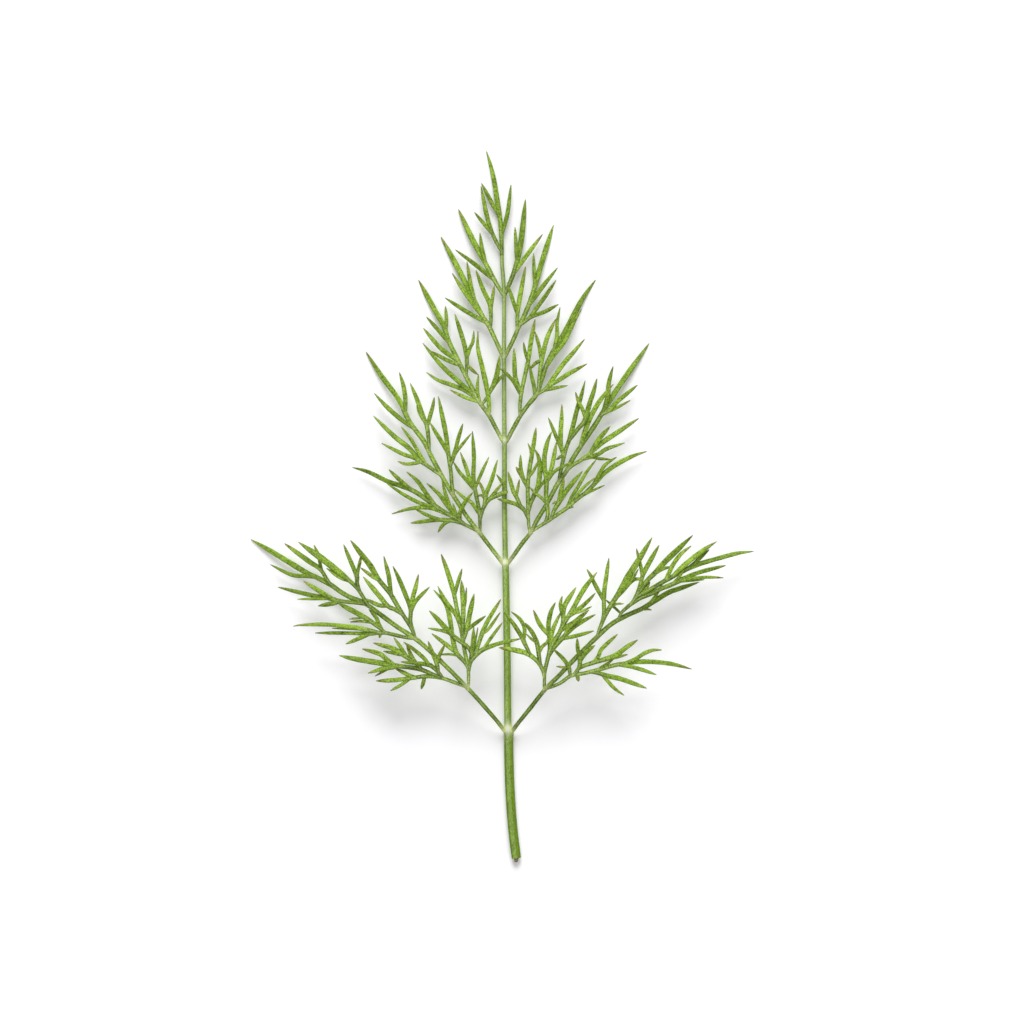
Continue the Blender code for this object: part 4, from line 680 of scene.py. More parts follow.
# the lower pair, the longest pinnae
lowerLeft = dict(
    node="lower_left",
    seed=21,
    jointPaleness=1.0,
    limbs=trunk([(1.3, -45.5, 1.1), (0.3, -44.4, 1.7), (-0.8, -42.95, 2.9), (-2.7, -40.7, 4.8),
                 (-5.1, -37.95, 6.9), (-7.1, -35.8, 8.2), (-10.5, -32.3, 8.8), (-14.5, -28.5, 8.8),
                 (-17.3, -26.2, 8.4), (-21.0, -23.8, 7.3), (-24.7, -21.1, 6.0), (-26.3, -19.9, 5.4),
                 (-28.0, -18.9, 4.8), (-30.0, -18.2, 4.2), (-32.0, -17.1, 3.7), (-34.0, -15.7, 3.2),
                 (-37.0, -14.1, 2.5), (-39.0, -13.2, 2.1), (-43.0, -10.8, 1.4), (-47.0, -8.4, 0.7),
                 (-50.1, -6.6, 0.2)],
        limb(0.85, -3.0, [(-7.2, -35.8), (-8.9, -35.2), (-11.7, -34.2), (-14.9, -33.8), (-17.8, -34.15),
                          (-21.5, -34.6), (-25.0, -34.75)],
            limb(0.75, -1.0, [(-15.4, -34.0), (-15.6, -35.2), (-16.0, -36.4)]),
            limb(0.7, -1.0, [(-18.4, -34.4), (-19.8, -35.4), (-22.1, -36.7)]),
            limb(0.8, -0.6, [(-17.3, -34.0), (-18.6, -33.5), (-21.2, -32.2)]),
            limb(1.1, -2.0, [(-11.9, -34.1), (-13.4, -33.5), (-16.6, -32.3), (-20.5, -31.75),
                             (-24.5, -31.1), (-29.5, -30.3), (-32.3, -29.7)],
                limb(0.95, 0.4, [(-21.8, -31.5), (-22.9, -30.4), (-24.3, -29.3), (-27.7, -28.35)]),
                limb(0.9, -0.8, [(-20.6, -31.9), (-22.4, -32.1), (-24.0, -32.4), (-26.6, -33.2)]),
                limb(0.5, -1.6, [(-21.9, -32.0), (-23.8, -33.0), (-25.2, -33.8)]),
                limb(0.95, 0.8, [(-16.1, -32.4), (-16.9, -31.3), (-19.1, -29.8), (-21.5, -28.3),
                                 (-25.5, -27.15)],
                    limb(0.7, 0.6, [(-19.8, -29.6), (-21.3, -29.2), (-23.5, -28.8)]),
                    limb(0.7, 1.0, [(-18.9, -29.8), (-19.7, -28.5), (-21.4, -26.1)]),
                    limb(0.8, 1.0, [(-17.1, -31.1), (-17.9, -29.8), (-18.9, -27.5)]))),
            limb(0.55, 2.6, [(-11.9, -34.1), (-12.4, -33.2), (-14.2, -31.6), (-17.0, -31.2),
                             (-20.0, -30.9)],
                limb(0.8, 1.4, [(-14.7, -31.3), (-15.6, -30.0), (-18.0, -28.0), (-19.5, -26.95)]),
                limb(0.7, 5.2, [(-12.7, -32.6), (-12.85, -31.3), (-13.8, -28.9), (-14.55, -26.8)],
                    limb(0.7, 2.4, [(-12.8, -31.2), (-12.4, -29.8), (-11.2, -27.4)])))),
        limb(1.0, -1.5, [(-6.8, -36.1), (-6.55, -34.6), (-6.65, -32.0), (-7.35, -28.6), (-7.95, -25.0),
                         (-8.75, -21.0), (-9.55, -17.0), (-10.8, -12.8), (-12.0, -9.5)],
            limb(0.9, 0.3, [(-6.8, -32.0), (-7.4, -30.9), (-9.0, -29.0), (-9.75, -26.0), (-10.2, -22.7),
                            (-11.1, -19.4), (-13.5, -16.6)],
                limb(0.5, 0.4, [(-8.8, -29.4), (-10.3, -29.4), (-12.4, -29.5)]),
                limb(0.85, 0.4, [(-9.2, -29.0), (-11.6, -27.0), (-13.85, -25.3)])),
            limb(0.85, 1.2, [(-8.7, -23.4), (-9.1, -21.5), (-11.1, -18.9), (-12.65, -15.9)]),
            limb(0.75, 0.5, [(-9.5, -17.3), (-8.9, -16.0), (-7.85, -12.4)]),
            limb(0.95, 1.0, [(-7.9, -25.5), (-7.6, -20.0), (-7.95, -14.7)],
                limb(0.5, -0.8, [(-7.6, -21.0), (-7.15, -18.8), (-6.95, -16.1)])),
            limb(1.0, -0.6, [(-7.6, -26.6), (-6.7, -23.5), (-6.3, -21.3), (-5.45, -17.4)],
                limb(0.75, 0.8, [(-6.9, -24.5), (-5.9, -23.8), (-3.1, -21.75)])),
            limb(0.75, -0.7, [(-6.65, -33.0), (-6.3, -31.4), (-5.7, -30.3), (-3.9, -28.6), (-1.5, -27.6),
                              (0.2, -27.1), (3.7, -26.35)],
                limb(0.75, 0.6, [(-4.9, -29.3), (-4.5, -27.2), (-3.0, -23.3), (-0.15, -18.5)],
                    limb(0.6, -0.4, [(-3.7, -25.2), (-2.6, -24.4), (-0.25, -21.1)])),
                limb(0.65, 0.5, [(-3.4, -28.3), (-2.4, -26.6), (0.2, -23.1)]),
                limb(0.45, -0.5, [(-5.5, -29.9), (-5.3, -27.6), (-4.7, -24.1)]),
                limb(0.85, 1.0, [(-6.0, -30.8), (-5.75, -28.0), (-5.5, -23.9)]),
                limb(1.0, 1.4, [(-5.7, -30.0), (-6.5, -28.2), (-8.8, -26.4), (-10.0, -25.4),
                                (-12.9, -22.2), (-14.35, -20.75)],
                    limb(0.65, -0.3, [(-10.0, -25.3), (-11.3, -24.85), (-14.6, -24.2)])))),
        limb(0.7, -3.6, [(-17.3, -26.3), (-20.0, -25.85), (-23.3, -25.15), (-26.5, -25.3), (-32.0, -25.2),
                         (-37.1, -25.2)],
            limb(0.8, -1.8, [(-24.3, -25.15), (-26.0, -24.7), (-30.0, -23.95), (-35.0, -23.5),
                             (-39.8, -23.6), (-41.45, -23.85)],
                limb(0.45, -1.0, [(-27.0, -24.5), (-29.5, -24.4), (-33.7, -24.25)])),
            limb(1.1, -1.2, [(-23.3, -25.1), (-24.1, -24.3), (-27.0, -22.2), (-32.5, -19.25)],
                limb(0.45, -0.6, [(-27.3, -22.1), (-28.7, -22.25), (-30.3, -22.4)]),
                limb(0.55, -1.4, [(-25.8, -23.0), (-28.0, -22.85), (-30.1, -23.0)])),
            limb(0.8, -1.2, [(-26.2, -25.3), (-27.5, -25.9), (-31.0, -27.4)]),
            limb(0.6, -0.2, [(-24.1, -25.2), (-24.15, -25.6), (-24.3, -26.15)]),
            limb(0.8, -2.2, [(-23.7, -25.0), (-24.4, -23.5), (-24.9, -22.2), (-26.4, -20.5)])),
        limb(0.95, -1.6, [(-17.2, -26.2), (-17.5, -25.0), (-18.1, -22.8), (-18.1, -20.3), (-19.2, -17.3),
                          (-20.5, -14.2), (-21.6, -11.9)],
            limb(0.85, -0.4, [(-18.1, -20.5), (-17.6, -18.0), (-17.1, -16.2), (-16.5, -13.5)]),
            limb(0.75, 0.3, [(-18.1, -20.7), (-17.0, -18.8), (-14.3, -16.0)]),
            limb(1.15, -2.0, [(-17.5, -25.2), (-18.2, -23.7), (-20.0, -20.9), (-21.6, -18.2),
                              (-22.3, -17.1), (-24.6, -14.3), (-26.1, -11.8), (-28.3, -9.0),
                              (-30.05, -6.75)],
                limb(0.85, 0.4, [(-22.0, -17.4), (-22.2, -15.5), (-22.5, -13.5), (-23.4, -9.9)]),
                limb(0.7, 0.4, [(-24.3, -14.7), (-25.7, -13.9), (-28.0, -12.2)]),
                limb(0.95, -0.6, [(-19.7, -21.4), (-21.2, -20.5), (-22.6, -19.8), (-24.8, -17.2),
                                  (-27.5, -14.0)],
                    limb(0.8, -1.0, [(-22.8, -19.6), (-24.5, -19.6), (-27.2, -18.3)])))),
        limb(1.3, -2.2, [(-26.3, -19.9), (-27.1, -18.8), (-28.6, -16.5), (-30.3, -14.8), (-33.0, -12.6),
                         (-35.8, -10.4), (-40.5, -7.1)],
            limb(0.8, 0.6, [(-28.4, -16.8), (-28.75, -15.3), (-28.8, -14.0), (-29.3, -12.7),
                            (-30.2, -10.6), (-31.45, -7.6)],
                limb(0.7, 1.2, [(-28.8, -14.0), (-28.6, -12.8), (-28.3, -11.5), (-27.9, -9.6)])),
            limb(0.7, -1.0, [(-30.4, -14.8), (-32.3, -14.1), (-34.9, -12.3)])),
        limb(0.85, -3.5, [(-26.9, -19.6), (-28.5, -19.3), (-32.0, -18.85), (-35.0, -18.2),
                          (-39.0, -17.45), (-44.6, -16.1)],
            limb(0.9, -0.6, [(-33.0, -18.7), (-34.6, -17.9), (-39.5, -14.9)]),
            limb(0.6, -1.6, [(-34.3, -18.4), (-36.5, -18.4), (-40.7, -18.5)]),
            limb(0.9, -0.8, [(-32.4, -18.8), (-33.8, -19.35), (-36.6, -19.85)])),
        limb(0.95, -1.2, [(-33.6, -16.0), (-34.6, -14.9), (-36.2, -12.5), (-38.5, -10.9), (-43.3, -7.4)],
            limb(0.7, 1.4, [(-36.1, -12.6), (-36.2, -11.4), (-36.4, -10.0), (-37.4, -7.7)])),
        limb(0.8, -1.6, [(-37.0, -14.1), (-39.0, -13.9), (-42.0, -13.6), (-46.2, -11.6)])),
)
makePinna("lowerLeftPinna", lowerLeft)

lowerRight = dict(
    node="lower_right",
    seed=22,
    jointPaleness=1.0,
    limbs=trunk([(1.42, -45.5, 1.1), (2.35, -44.6, 1.7), (3.2, -43.4, 2.8), (5.5, -40.5, 5.4),
                 (8.7, -36.4, 8.2), (11.4, -33.7, 8.7), (14.9, -30.0, 8.7), (19.0, -26.0, 8.2),
                 (21.8, -23.5, 7.2), (24.8, -21.8, 5.6), (28.0, -20.4, 4.3), (30.5, -18.9, 3.6),
                 (33.3, -17.2, 3.0), (35.5, -16.4, 2.6), (39.5, -15.1, 2.2)],
        limb(0.9, 0.8, [(8.7, -36.3), (8.55, -35.0), (8.6, -33.2), (8.9, -31.6), (9.5, -29.0),
                        (9.6, -27.4), (9.4, -25.0), (9.4, -23.0), (9.9, -20.8), (10.75, -19.1)],
            limb(1.0, -0.3, [(8.55, -34.0), (8.2, -32.5), (7.3, -31.0), (5.4, -29.4), (2.8, -28.6),
                             (-0.5, -28.1)],
                limb(0.85, 0.5, [(5.5, -29.5), (4.7, -27.4), (3.9, -25.7), (2.2, -23.1), (0.4, -20.9)],
                    limb(0.75, 1.0, [(4.3, -26.6), (4.6, -25.2), (4.5, -23.9), (3.6, -22.3),
                                     (1.9, -20.9)])),
                limb(0.85, 1.0, [(7.6, -31.3), (7.5, -30.0), (7.1, -27.3), (6.2, -25.2), (4.7, -23.2)],
                    limb(0.5, 0.2, [(6.8, -26.9), (6.0, -26.4), (5.0, -25.4)]),
                    limb(0.7, 0.8, [(7.4, -28.9), (8.1, -27.9), (9.0, -27.1), (9.2, -26.2)]))),
            limb(0.85, 0.6, [(9.4, -25.4), (8.6, -24.7), (7.5, -23.2), (6.35, -20.6)]),
            limb(0.95, 1.0, [(9.2, -30.2), (9.7, -28.6), (10.6, -26.6), (11.6, -25.0), (12.3, -23.0),
                             (12.25, -21.0), (12.8, -19.3), (14.85, -16.1)],
                limb(0.75, 0.6, [(12.2, -22.0), (11.85, -20.4), (11.75, -19.2), (12.1, -17.8)]),
                limb(0.85, -0.8, [(9.9, -28.0), (9.95, -25.6), (10.6, -23.6), (11.9, -20.9)]),
                limb(0.95, 0.4, [(12.1, -24.0), (13.0, -22.4), (14.2, -20.4), (15.6, -17.8),
                                 (17.0, -15.6), (19.0, -13.1)],
                    limb(0.8, 0.8, [(14.4, -20.8), (15.6, -20.2), (17.2, -18.8), (18.7, -17.2)]),
                    limb(0.6, 1.6, [(13.2, -22.0), (14.6, -21.2), (16.0, -20.8), (17.95, -19.9)])),
                limb(0.95, -0.4, [(12.0, -24.6), (13.2, -23.8), (14.8, -22.8), (16.2, -21.6),
                                  (17.4, -20.6)])),
            limb(0.85, 0.4, [(9.3, -29.8), (10.4, -28.2), (12.3, -26.0), (14.4, -24.0), (16.2, -22.8),
                             (18.7, -21.5)],
                limb(0.75, -0.4, [(12.0, -26.3), (13.2, -26.1), (15.0, -25.7), (18.4, -24.75)]),
                limb(0.6, 1.0, [(12.6, -25.6), (13.2, -24.4), (14.4, -23.4), (15.4, -22.9)]))),
        limb(0.95, -3.4, [(9.0, -36.3), (11.6, -35.2), (13.8, -33.7), (16.4, -33.2), (19.6, -32.4),
                          (23.5, -31.4), (28.5, -30.9), (33.5, -31.3), (37.9, -32.4)],
            limb(0.75, -0.3, [(15.15, -33.5), (15.2, -34.1), (15.35, -34.85)]),
            limb(0.8, 6.0, [(13.8, -33.6), (13.4, -32.0), (12.3, -30.3), (10.3, -28.3)],
                limb(0.5, -0.8, [(13.3, -31.9), (12.4, -32.0), (10.9, -31.8)])),
            limb(0.75, 4.4, [(15.2, -33.3), (15.5, -31.8), (15.6, -30.3), (15.2, -28.5), (15.05, -26.2)],
                limb(0.9, 1.0, [(15.6, -30.6), (16.4, -29.5), (17.3, -28.6), (18.6, -27.6)])),
            limb(0.95, 0.6, [(14.6, -33.4), (15.6, -32.1), (18.2, -31.1), (21.5, -30.1), (23.3, -29.2),
                             (24.9, -28.0), (27.1, -26.55)],
                limb(0.7, -0.5, [(20.9, -30.3), (23.0, -29.95), (25.15, -29.45)]),
                limb(0.8, 0.8, [(18.6, -31.0), (19.3, -29.8), (20.0, -28.3), (23.1, -25.4)])),
            limb(0.6, 0.4, [(19.4, -32.5), (20.6, -31.6), (22.3, -30.4)]),
            limb(0.8, 0.5, [(25.0, -31.2), (26.6, -30.4), (28.5, -29.2), (30.2, -28.6), (31.9, -28.55)]),
            limb(0.8, -0.5, [(23.4, -31.5), (25.4, -31.8), (28.0, -32.5), (30.85, -33.5)]),
            limb(0.95, -1.6, [(18.0, -32.9), (19.4, -33.2), (21.0, -33.7), (24.0, -34.4), (28.9, -36.2)],
                limb(0.7, -0.6, [(20.2, -33.5), (21.0, -34.6), (22.5, -36.2), (24.4, -37.6)]))),
        limb(0.9, -1.4, [(19.1, -25.9), (19.5, -24.4), (20.1, -22.8), (20.4, -21.0), (20.4, -19.0),
                         (20.5, -16.6), (20.9, -13.8), (21.4, -10.3)],
            limb(0.8, 0.6, [(20.3, -18.6), (19.4, -17.0), (18.5, -15.3), (17.8, -13.8), (17.0, -12.5)]),
            limb(1.2, -1.6, [(19.7, -23.9), (20.8, -21.4), (21.9, -19.5), (23.3, -17.3), (25.0, -14.3),
                             (26.6, -11.8), (28.2, -9.2), (30.0, -6.2)],
                limb(0.5, -1.0, [(21.9, -19.4), (23.0, -19.4), (24.35, -19.35)]),
                limb(0.8, -1.0, [(22.6, -18.4), (24.4, -16.5), (26.0, -14.5), (27.3, -12.4)]))),
        limb(0.95, 1.2, [(23.4, -22.5), (23.9, -21.2), (24.9, -20.2), (26.2, -19.0), (27.1, -17.2),
                         (27.7, -15.4), (28.2, -13.6), (29.2, -11.6), (31.4, -7.7)],
            limb(0.55, 1.2, [(23.8, -21.4), (22.6, -20.2), (20.8, -18.6)]),
            limb(0.7, 0.8, [(28.1, -13.8), (27.8, -12.2), (27.4, -10.6), (26.9, -8.4)]),
            limb(0.7, 0.8, [(27.9, -14.4), (26.4, -14.6), (24.8, -16.1), (23.3, -18.0)]),
            limb(1.15, -1.2, [(26.6, -18.4), (27.6, -16.8), (29.0, -14.8), (30.6, -13.2), (32.6, -11.0),
                              (35.0, -8.7), (38.1, -5.75)],
                limb(0.8, -0.8, [(27.3, -17.4), (28.5, -16.6), (29.6, -15.0)]),
                limb(0.7, -0.4, [(30.2, -13.5), (32.0, -12.5), (33.9, -12.0)])),
            limb(0.85, -2.6, [(25.6, -19.6), (27.6, -18.3), (29.5, -17.5), (32.0, -16.3), (33.8, -15.6),
                              (36.5, -14.3), (39.5, -13.1), (44.7, -11.75)],
                limb(0.65, -0.6, [(36.0, -14.5), (38.3, -14.3), (41.0, -14.1), (44.2, -14.2)]),
                limb(0.6, 0.6, [(34.2, -15.4), (35.3, -14.2), (36.3, -12.7)]),
                limb(0.5, -1.4, [(35.2, -15.0), (37.4, -14.8), (40.4, -14.6)])),
            limb(0.9, -5.2, [(26.9, -18.0), (28.6, -17.1), (31.0, -15.7), (34.0, -14.0), (36.5, -12.7),
                             (39.0, -11.6), (43.0, -10.4), (47.0, -9.35), (50.3, -8.95)],
                limb(1.0, 0.4, [(34.6, -13.7), (36.0, -12.1), (38.5, -10.0), (40.5, -8.5),
                                (42.85, -7.0)]),
                limb(0.8, -0.6, [(37.4, -12.3), (38.6, -11.2), (40.0, -9.8), (41.4, -8.6)]),
                limb(0.85, 0.2, [(32.9, -14.6), (33.4, -13.2), (34.3, -11.4), (35.8, -9.4),
                                 (37.8, -7.85)]))),
        limb(0.7, -0.8, [(28.6, -20.2), (29.9, -19.0), (31.0, -17.4), (32.2, -15.3)]),
        limb(0.45, -0.3, [(28.2, -20.4), (29.0, -20.5), (29.95, -20.65)])),
)
makePinna("lowerRightPinna", lowerRight)

# the middle pair
middleLeft = dict(
    node="middle_left",
    seed=23,
    jointPaleness=0.95,
    limbs=trunk(raised("middle", [(0.77, -11.9), (0.1, -11.1), (-1.2, -9.4), (-4.5, -5.1), (-6.6, -2.4),
                                  (-8.2, 0.0), (-10.7, 4.0), (-13.5, 9.0), (-15.5, 13.0), (-18.4, 17.0),
                                  (-20.5, 21.3), (-24.0, 26.1), (-27.1, 30.9)]),
        limb(0.85, 0.6, [(-19.2, 19.0), (-19.2, 21.6), (-19.6, 24.2), (-20.4, 26.8)]),
        limb(0.9, -1.2, [(-17.7, 15.6), (-20.3, 17.6), (-23.0, 20.0), (-25.4, 22.6)]),
        limb(0.95, -2.4, [(-12.1, 6.4), (-13.6, 7.3), (-15.0, 8.3), (-16.3, 9.2), (-18.5, 11.7),
                          (-21.5, 14.1), (-25.6, 18.1)],
            limb(0.75, 0.6, [(-15.2, 8.4), (-16.6, 10.9), (-18.0, 13.3), (-20.0, 15.9)]),
            limb(0.75, -0.6, [(-16.3, 9.1), (-18.0, 9.9), (-19.5, 10.4), (-23.9, 12.6)]),
            limb(0.7, -0.8, [(-16.2, 8.9), (-17.4, 8.6), (-19.2, 8.5), (-20.7, 9.0)])),
        limb(0.85, -0.6, [(-14.4, 11.0), (-14.6, 14.0), (-14.9, 16.0), (-15.8, 18.5), (-16.9, 21.5),
                          (-18.2, 24.6)],
            limb(0.8, 0.6, [(-14.8, 16.0), (-14.2, 18.2), (-13.7, 20.0), (-13.4, 21.8)]),
            limb(0.7, -0.4, [(-15.2, 16.8), (-16.3, 18.6), (-16.9, 20.3)])),
        limb(0.95, 0.2, [(-9.5, 2.2), (-9.9, 4.5), (-10.1, 7.0), (-10.6, 10.5), (-11.1, 14.5),
                         (-11.9, 18.5), (-12.6, 22.0)],
            limb(0.8, 1.0, [(-10.6, 10.6), (-12.0, 13.0), (-13.2, 14.9), (-14.2, 16.7)]),
            limb(0.8, 0.4, [(-10.2, 8.4), (-9.2, 11.2), (-8.6, 13.6), (-7.7, 16.5)],
                limb(0.6, 0.5, [(-9.5, 10.2), (-8.2, 11.9), (-6.0, 14.6)]))),
        limb(0.85, 0.8, [(-4.4, -5.0), (-4.3, -3.0), (-4.4, -1.0), (-5.1, 2.5), (-5.6, 5.5), (-5.5, 10.0),
                         (-5.8, 15.0)],
            limb(0.75, 0.7, [(-5.5, 4.6), (-6.4, 5.7), (-7.0, 7.6), (-8.2, 10.8)]),
            limb(0.75, 1.2, [(-5.3, 3.6), (-7.0, 5.3), (-8.4, 6.9), (-9.6, 8.9)]),
            limb(0.65, 0.6, [(-5.2, 4.0), (-4.2, 6.2), (-2.5, 9.9)]),
            limb(0.7, 1.8, [(-4.5, -1.4), (-5.9, 0.7), (-7.3, 1.6), (-9.6, 3.6)]),
            limb(0.65, -0.2, [(-4.3, -2.6), (-3.7, -0.5), (-2.5, 1.4), (-0.4, 2.4), (1.3, 3.0)],
                limb(0.75, 0.6, [(-3.4, 0.3), (-3.0, 2.6), (-1.9, 5.5), (-0.8, 9.3)],
                    limb(0.6, 0.8, [(-3.2, 2.0), (-3.8, 3.6), (-4.7, 5.3)]),
                    limb(0.5, 0.6, [(-3.3, 1.6), (-3.9, 2.2), (-4.9, 2.1)])),
                limb(0.65, 0.6, [(-2.3, 1.6), (-1.2, 3.0), (0.3, 4.8)]),
                limb(0.65, 0.3, [(0.8, 2.9), (0.6, 4.0), (-0.2, 5.3), (-1.0, 6.4)]))),
        limb(0.8, -2.6, [(-4.6, -4.8), (-6.5, -4.0), (-8.3, -3.2), (-10.0, -2.8), (-13.0, -2.7),
                         (-18.1, -3.3)],
            limb(0.7, -0.8, [(-10.6, -2.8), (-11.6, -3.6), (-12.7, -5.2)]),
            limb(0.7, -0.4, [(-12.2, -2.7), (-14.4, -1.9), (-17.1, -0.6)]),
            limb(0.95, -3.6, [(-7.2, -3.7), (-8.5, -2.7), (-12.0, -0.7), (-17.0, 2.8), (-20.0, 4.1),
                              (-22.7, 5.0), (-26.6, 6.9), (-29.8, 7.8)],
                limb(0.8, 0.2, [(-18.0, 3.3), (-20.0, 5.0), (-22.5, 7.4)]),
                limb(0.85, 0.8, [(-13.4, 0.4), (-15.3, 3.0), (-16.7, 5.0), (-18.9, 6.9)]),
                limb(0.75, -1.0, [(-12.6, -0.2), (-16.0, 0.6), (-19.2, 2.2), (-23.0, 4.7)]),
                limb(0.8, -1.8, [(-10.2, -1.8), (-12.3, -0.9), (-15.0, -0.2), (-18.5, -0.5),
                                 (-21.9, -1.5)]),
                limb(0.85, 0.8, [(-9.2, -2.3), (-10.8, 0.2), (-12.5, 2.5), (-14.9, 4.6)]),
                limb(0.75, 1.6, [(-9.2, -2.2), (-10.2, -0.2), (-11.0, 2.0), (-11.9, 5.3)]),
                limb(0.6, 0.8, [(-8.9, -2.5), (-9.2, -1.0), (-9.7, 0.6)]),
                limb(0.8, 6.4, [(-8.5, -2.7), (-8.3, -1.4), (-7.3, 0.8), (-5.7, 2.8)])))),
)
makePinna("middleLeftPinna", middleLeft)

middleRight = dict(
    node="middle_right",
    seed=24,
    jointPaleness=0.95,
    limbs=trunk(raised("middle", [(0.77, -11.9), (2.0, -10.4), (4.1, -7.4), (5.9, -5.1), (7.0, -2.9),
                                  (9.1, 0.6), (11.3, 4.7), (12.9, 7.0), (14.2, 9.5), (16.0, 12.3),
                                  (19.0, 16.8), (21.4, 20.8), (24.5, 25.5), (29.5, 32.6)]),
        limb(0.85, 0.2, [(5.8, -5.0), (5.45, -3.8), (5.35, -2.0), (5.3, 1.0), (5.25, 4.0), (5.6, 7.5),
                         (6.2, 11.0), (6.9, 15.7)],
            limb(0.7, -0.3, [(5.3, -2.2), (4.5, -0.7), (3.3, 0.3), (1.5, 0.9), (-0.8, 1.5)],
                limb(0.8, 0.8, [(3.5, 0.2), (3.0, 1.9), (2.3, 3.3), (1.3, 6.9)],
                    limb(0.55, 0.2, [(2.9, 2.0), (3.2, 3.3), (3.6, 5.4)]))),
            limb(0.65, 0.6, [(5.3, 4.0), (4.3, 5.6), (2.9, 7.9)],
                limb(0.75, -0.3, [(4.6, 5.2), (3.9, 7.2), (3.8, 10.3)])),
            limb(0.5, 0.5, [(6.0, 9.4), (5.85, 11.0), (5.3, 12.6)]),
            limb(0.6, 0.8, [(5.5, 6.0), (6.5, 7.3), (7.4, 9.2)]),
            limb(0.95, 0.8, [(5.3, -1.2), (5.8, 0.6), (6.5, 2.2), (7.3, 4.2), (7.7, 7.4), (7.4, 9.8),
                             (6.6, 11.5)],
                limb(0.6, -0.6, [(6.8, 2.8), (7.7, 4.0), (8.6, 5.2), (9.0, 6.2)]))),
        limb(0.95, -1.2, [(11.4, 4.9), (11.9, 7.4), (12.3, 9.3), (12.9, 11.6), (13.6, 13.6), (14.4, 16.6),
                          (15.1, 19.4), (15.9, 22.0), (16.7, 25.1)],
            limb(0.9, 0.4, [(12.5, 10.2), (11.9, 12.0), (11.8, 14.4), (12.0, 17.8), (12.05, 20.4)]),
            limb(0.75, 1.2, [(12.5, 10.4), (11.6, 12.3), (10.8, 14.2), (9.35, 17.7)]),
            limb(0.6, 0.6, [(12.5, 10.4), (11.7, 9.9), (10.9, 9.3)]),
            limb(0.95, -0.3, [(13.5, 13.4), (15.2, 15.4), (16.4, 16.8), (17.0, 18.4), (17.6, 20.6),
                              (18.4, 23.0), (19.05, 25.5)],
                limb(0.75, 1.2, [(17.0, 18.0), (16.2, 19.3), (15.4, 20.8), (14.75, 22.8)]))),
        limb(0.95, 0.6, [(15.9, 12.3), (16.6, 14.8), (17.4, 17.0), (18.6, 19.4), (20.2, 21.9),
                         (22.3, 24.4)]),
        limb(0.9, -0.2, [(20.4, 19.4), (21.2, 22.0), (21.4, 24.4), (21.8, 26.2), (22.3, 28.0)]),
        limb(0.85, -0.6, [(20.1, 18.4), (21.6, 19.3), (23.2, 21.0), (25.0, 22.5), (27.15, 24.25)],
            limb(0.6, -0.9, [(21.2, 18.8), (22.8, 19.6), (25.7, 21.2)])),
        limb(0.95, -3.2, [(12.8, 7.0), (14.2, 8.2), (16.4, 9.6), (18.0, 10.9), (20.2, 12.8), (23.0, 14.7),
                          (27.4, 17.6)],
            limb(0.95, 0.4, [(18.0, 11.0), (18.8, 12.4), (19.8, 13.9), (21.7, 16.0)]),
            limb(0.8, -0.7, [(17.4, 10.2), (19.2, 10.4), (21.0, 11.5), (24.6, 12.7)]),
            limb(0.65, -1.2, [(16.4, 9.6), (18.0, 9.8), (19.6, 9.55), (21.9, 9.4)])),
        limb(0.9, -3.2, [(5.9, -4.9), (7.5, -4.0), (9.3, -2.9), (11.3, -1.5), (13.3, -0.1), (15.0, 1.4),
                         (17.2, 3.1), (19.0, 5.0), (20.6, 6.7), (23.3, 8.6), (26.3, 10.1), (29.0, 11.0)],
            limb(0.5, -0.3, [(13.0, -0.3), (13.6, -0.2), (14.4, -0.1)]),
            limb(0.75, 0.8, [(18.5, 4.5), (19.6, 6.6), (20.8, 8.4), (22.95, 9.85)]),
            limb(0.5, -0.5, [(15.3, 1.7), (17.2, 2.7), (20.6, 4.25)]),
            limb(0.7, 0.8, [(13.4, 0.0), (14.0, 1.9), (15.2, 3.8), (17.0, 6.9), (18.95, 9.4)]),
            limb(0.6, 0.7, [(14.0, 0.6), (15.2, 2.4), (16.6, 4.0), (18.9, 5.9)]),
            limb(0.95, 1.2, [(10.0, -2.4), (10.6, -0.6), (11.6, 1.0), (13.0, 3.2), (14.6, 5.2),
                             (16.2, 7.1)],
                limb(0.9, 0.9, [(11.6, 1.0), (11.8, 2.6), (12.1, 4.0), (12.5, 5.6)]),
                limb(0.5, 0.5, [(11.5, 0.9), (11.0, 0.9), (10.1, 0.55)])),
            limb(0.95, 4.4, [(9.0, -3.1), (9.2, -1.8), (9.15, -0.3), (9.0, 1.2), (8.9, 2.6), (8.95, 4.0),
                             (9.0, 5.6), (8.6, 7.6), (8.6, 10.0), (9.1, 12.6), (10.0, 14.9)],
                limb(0.65, 0.8, [(9.0, 1.0), (7.9, 1.8), (6.8, 2.6), (5.6, 3.9)]),
                limb(0.85, 0.0, [(9.0, 5.6), (9.9, 7.4), (10.4, 9.6), (11.0, 13.0)]),
                limb(0.7, 0.9, [(9.0, 5.2), (10.5, 6.9), (12.3, 8.0), (13.9, 8.8)])))),
)
makePinna("middleRightPinna", middleRight)

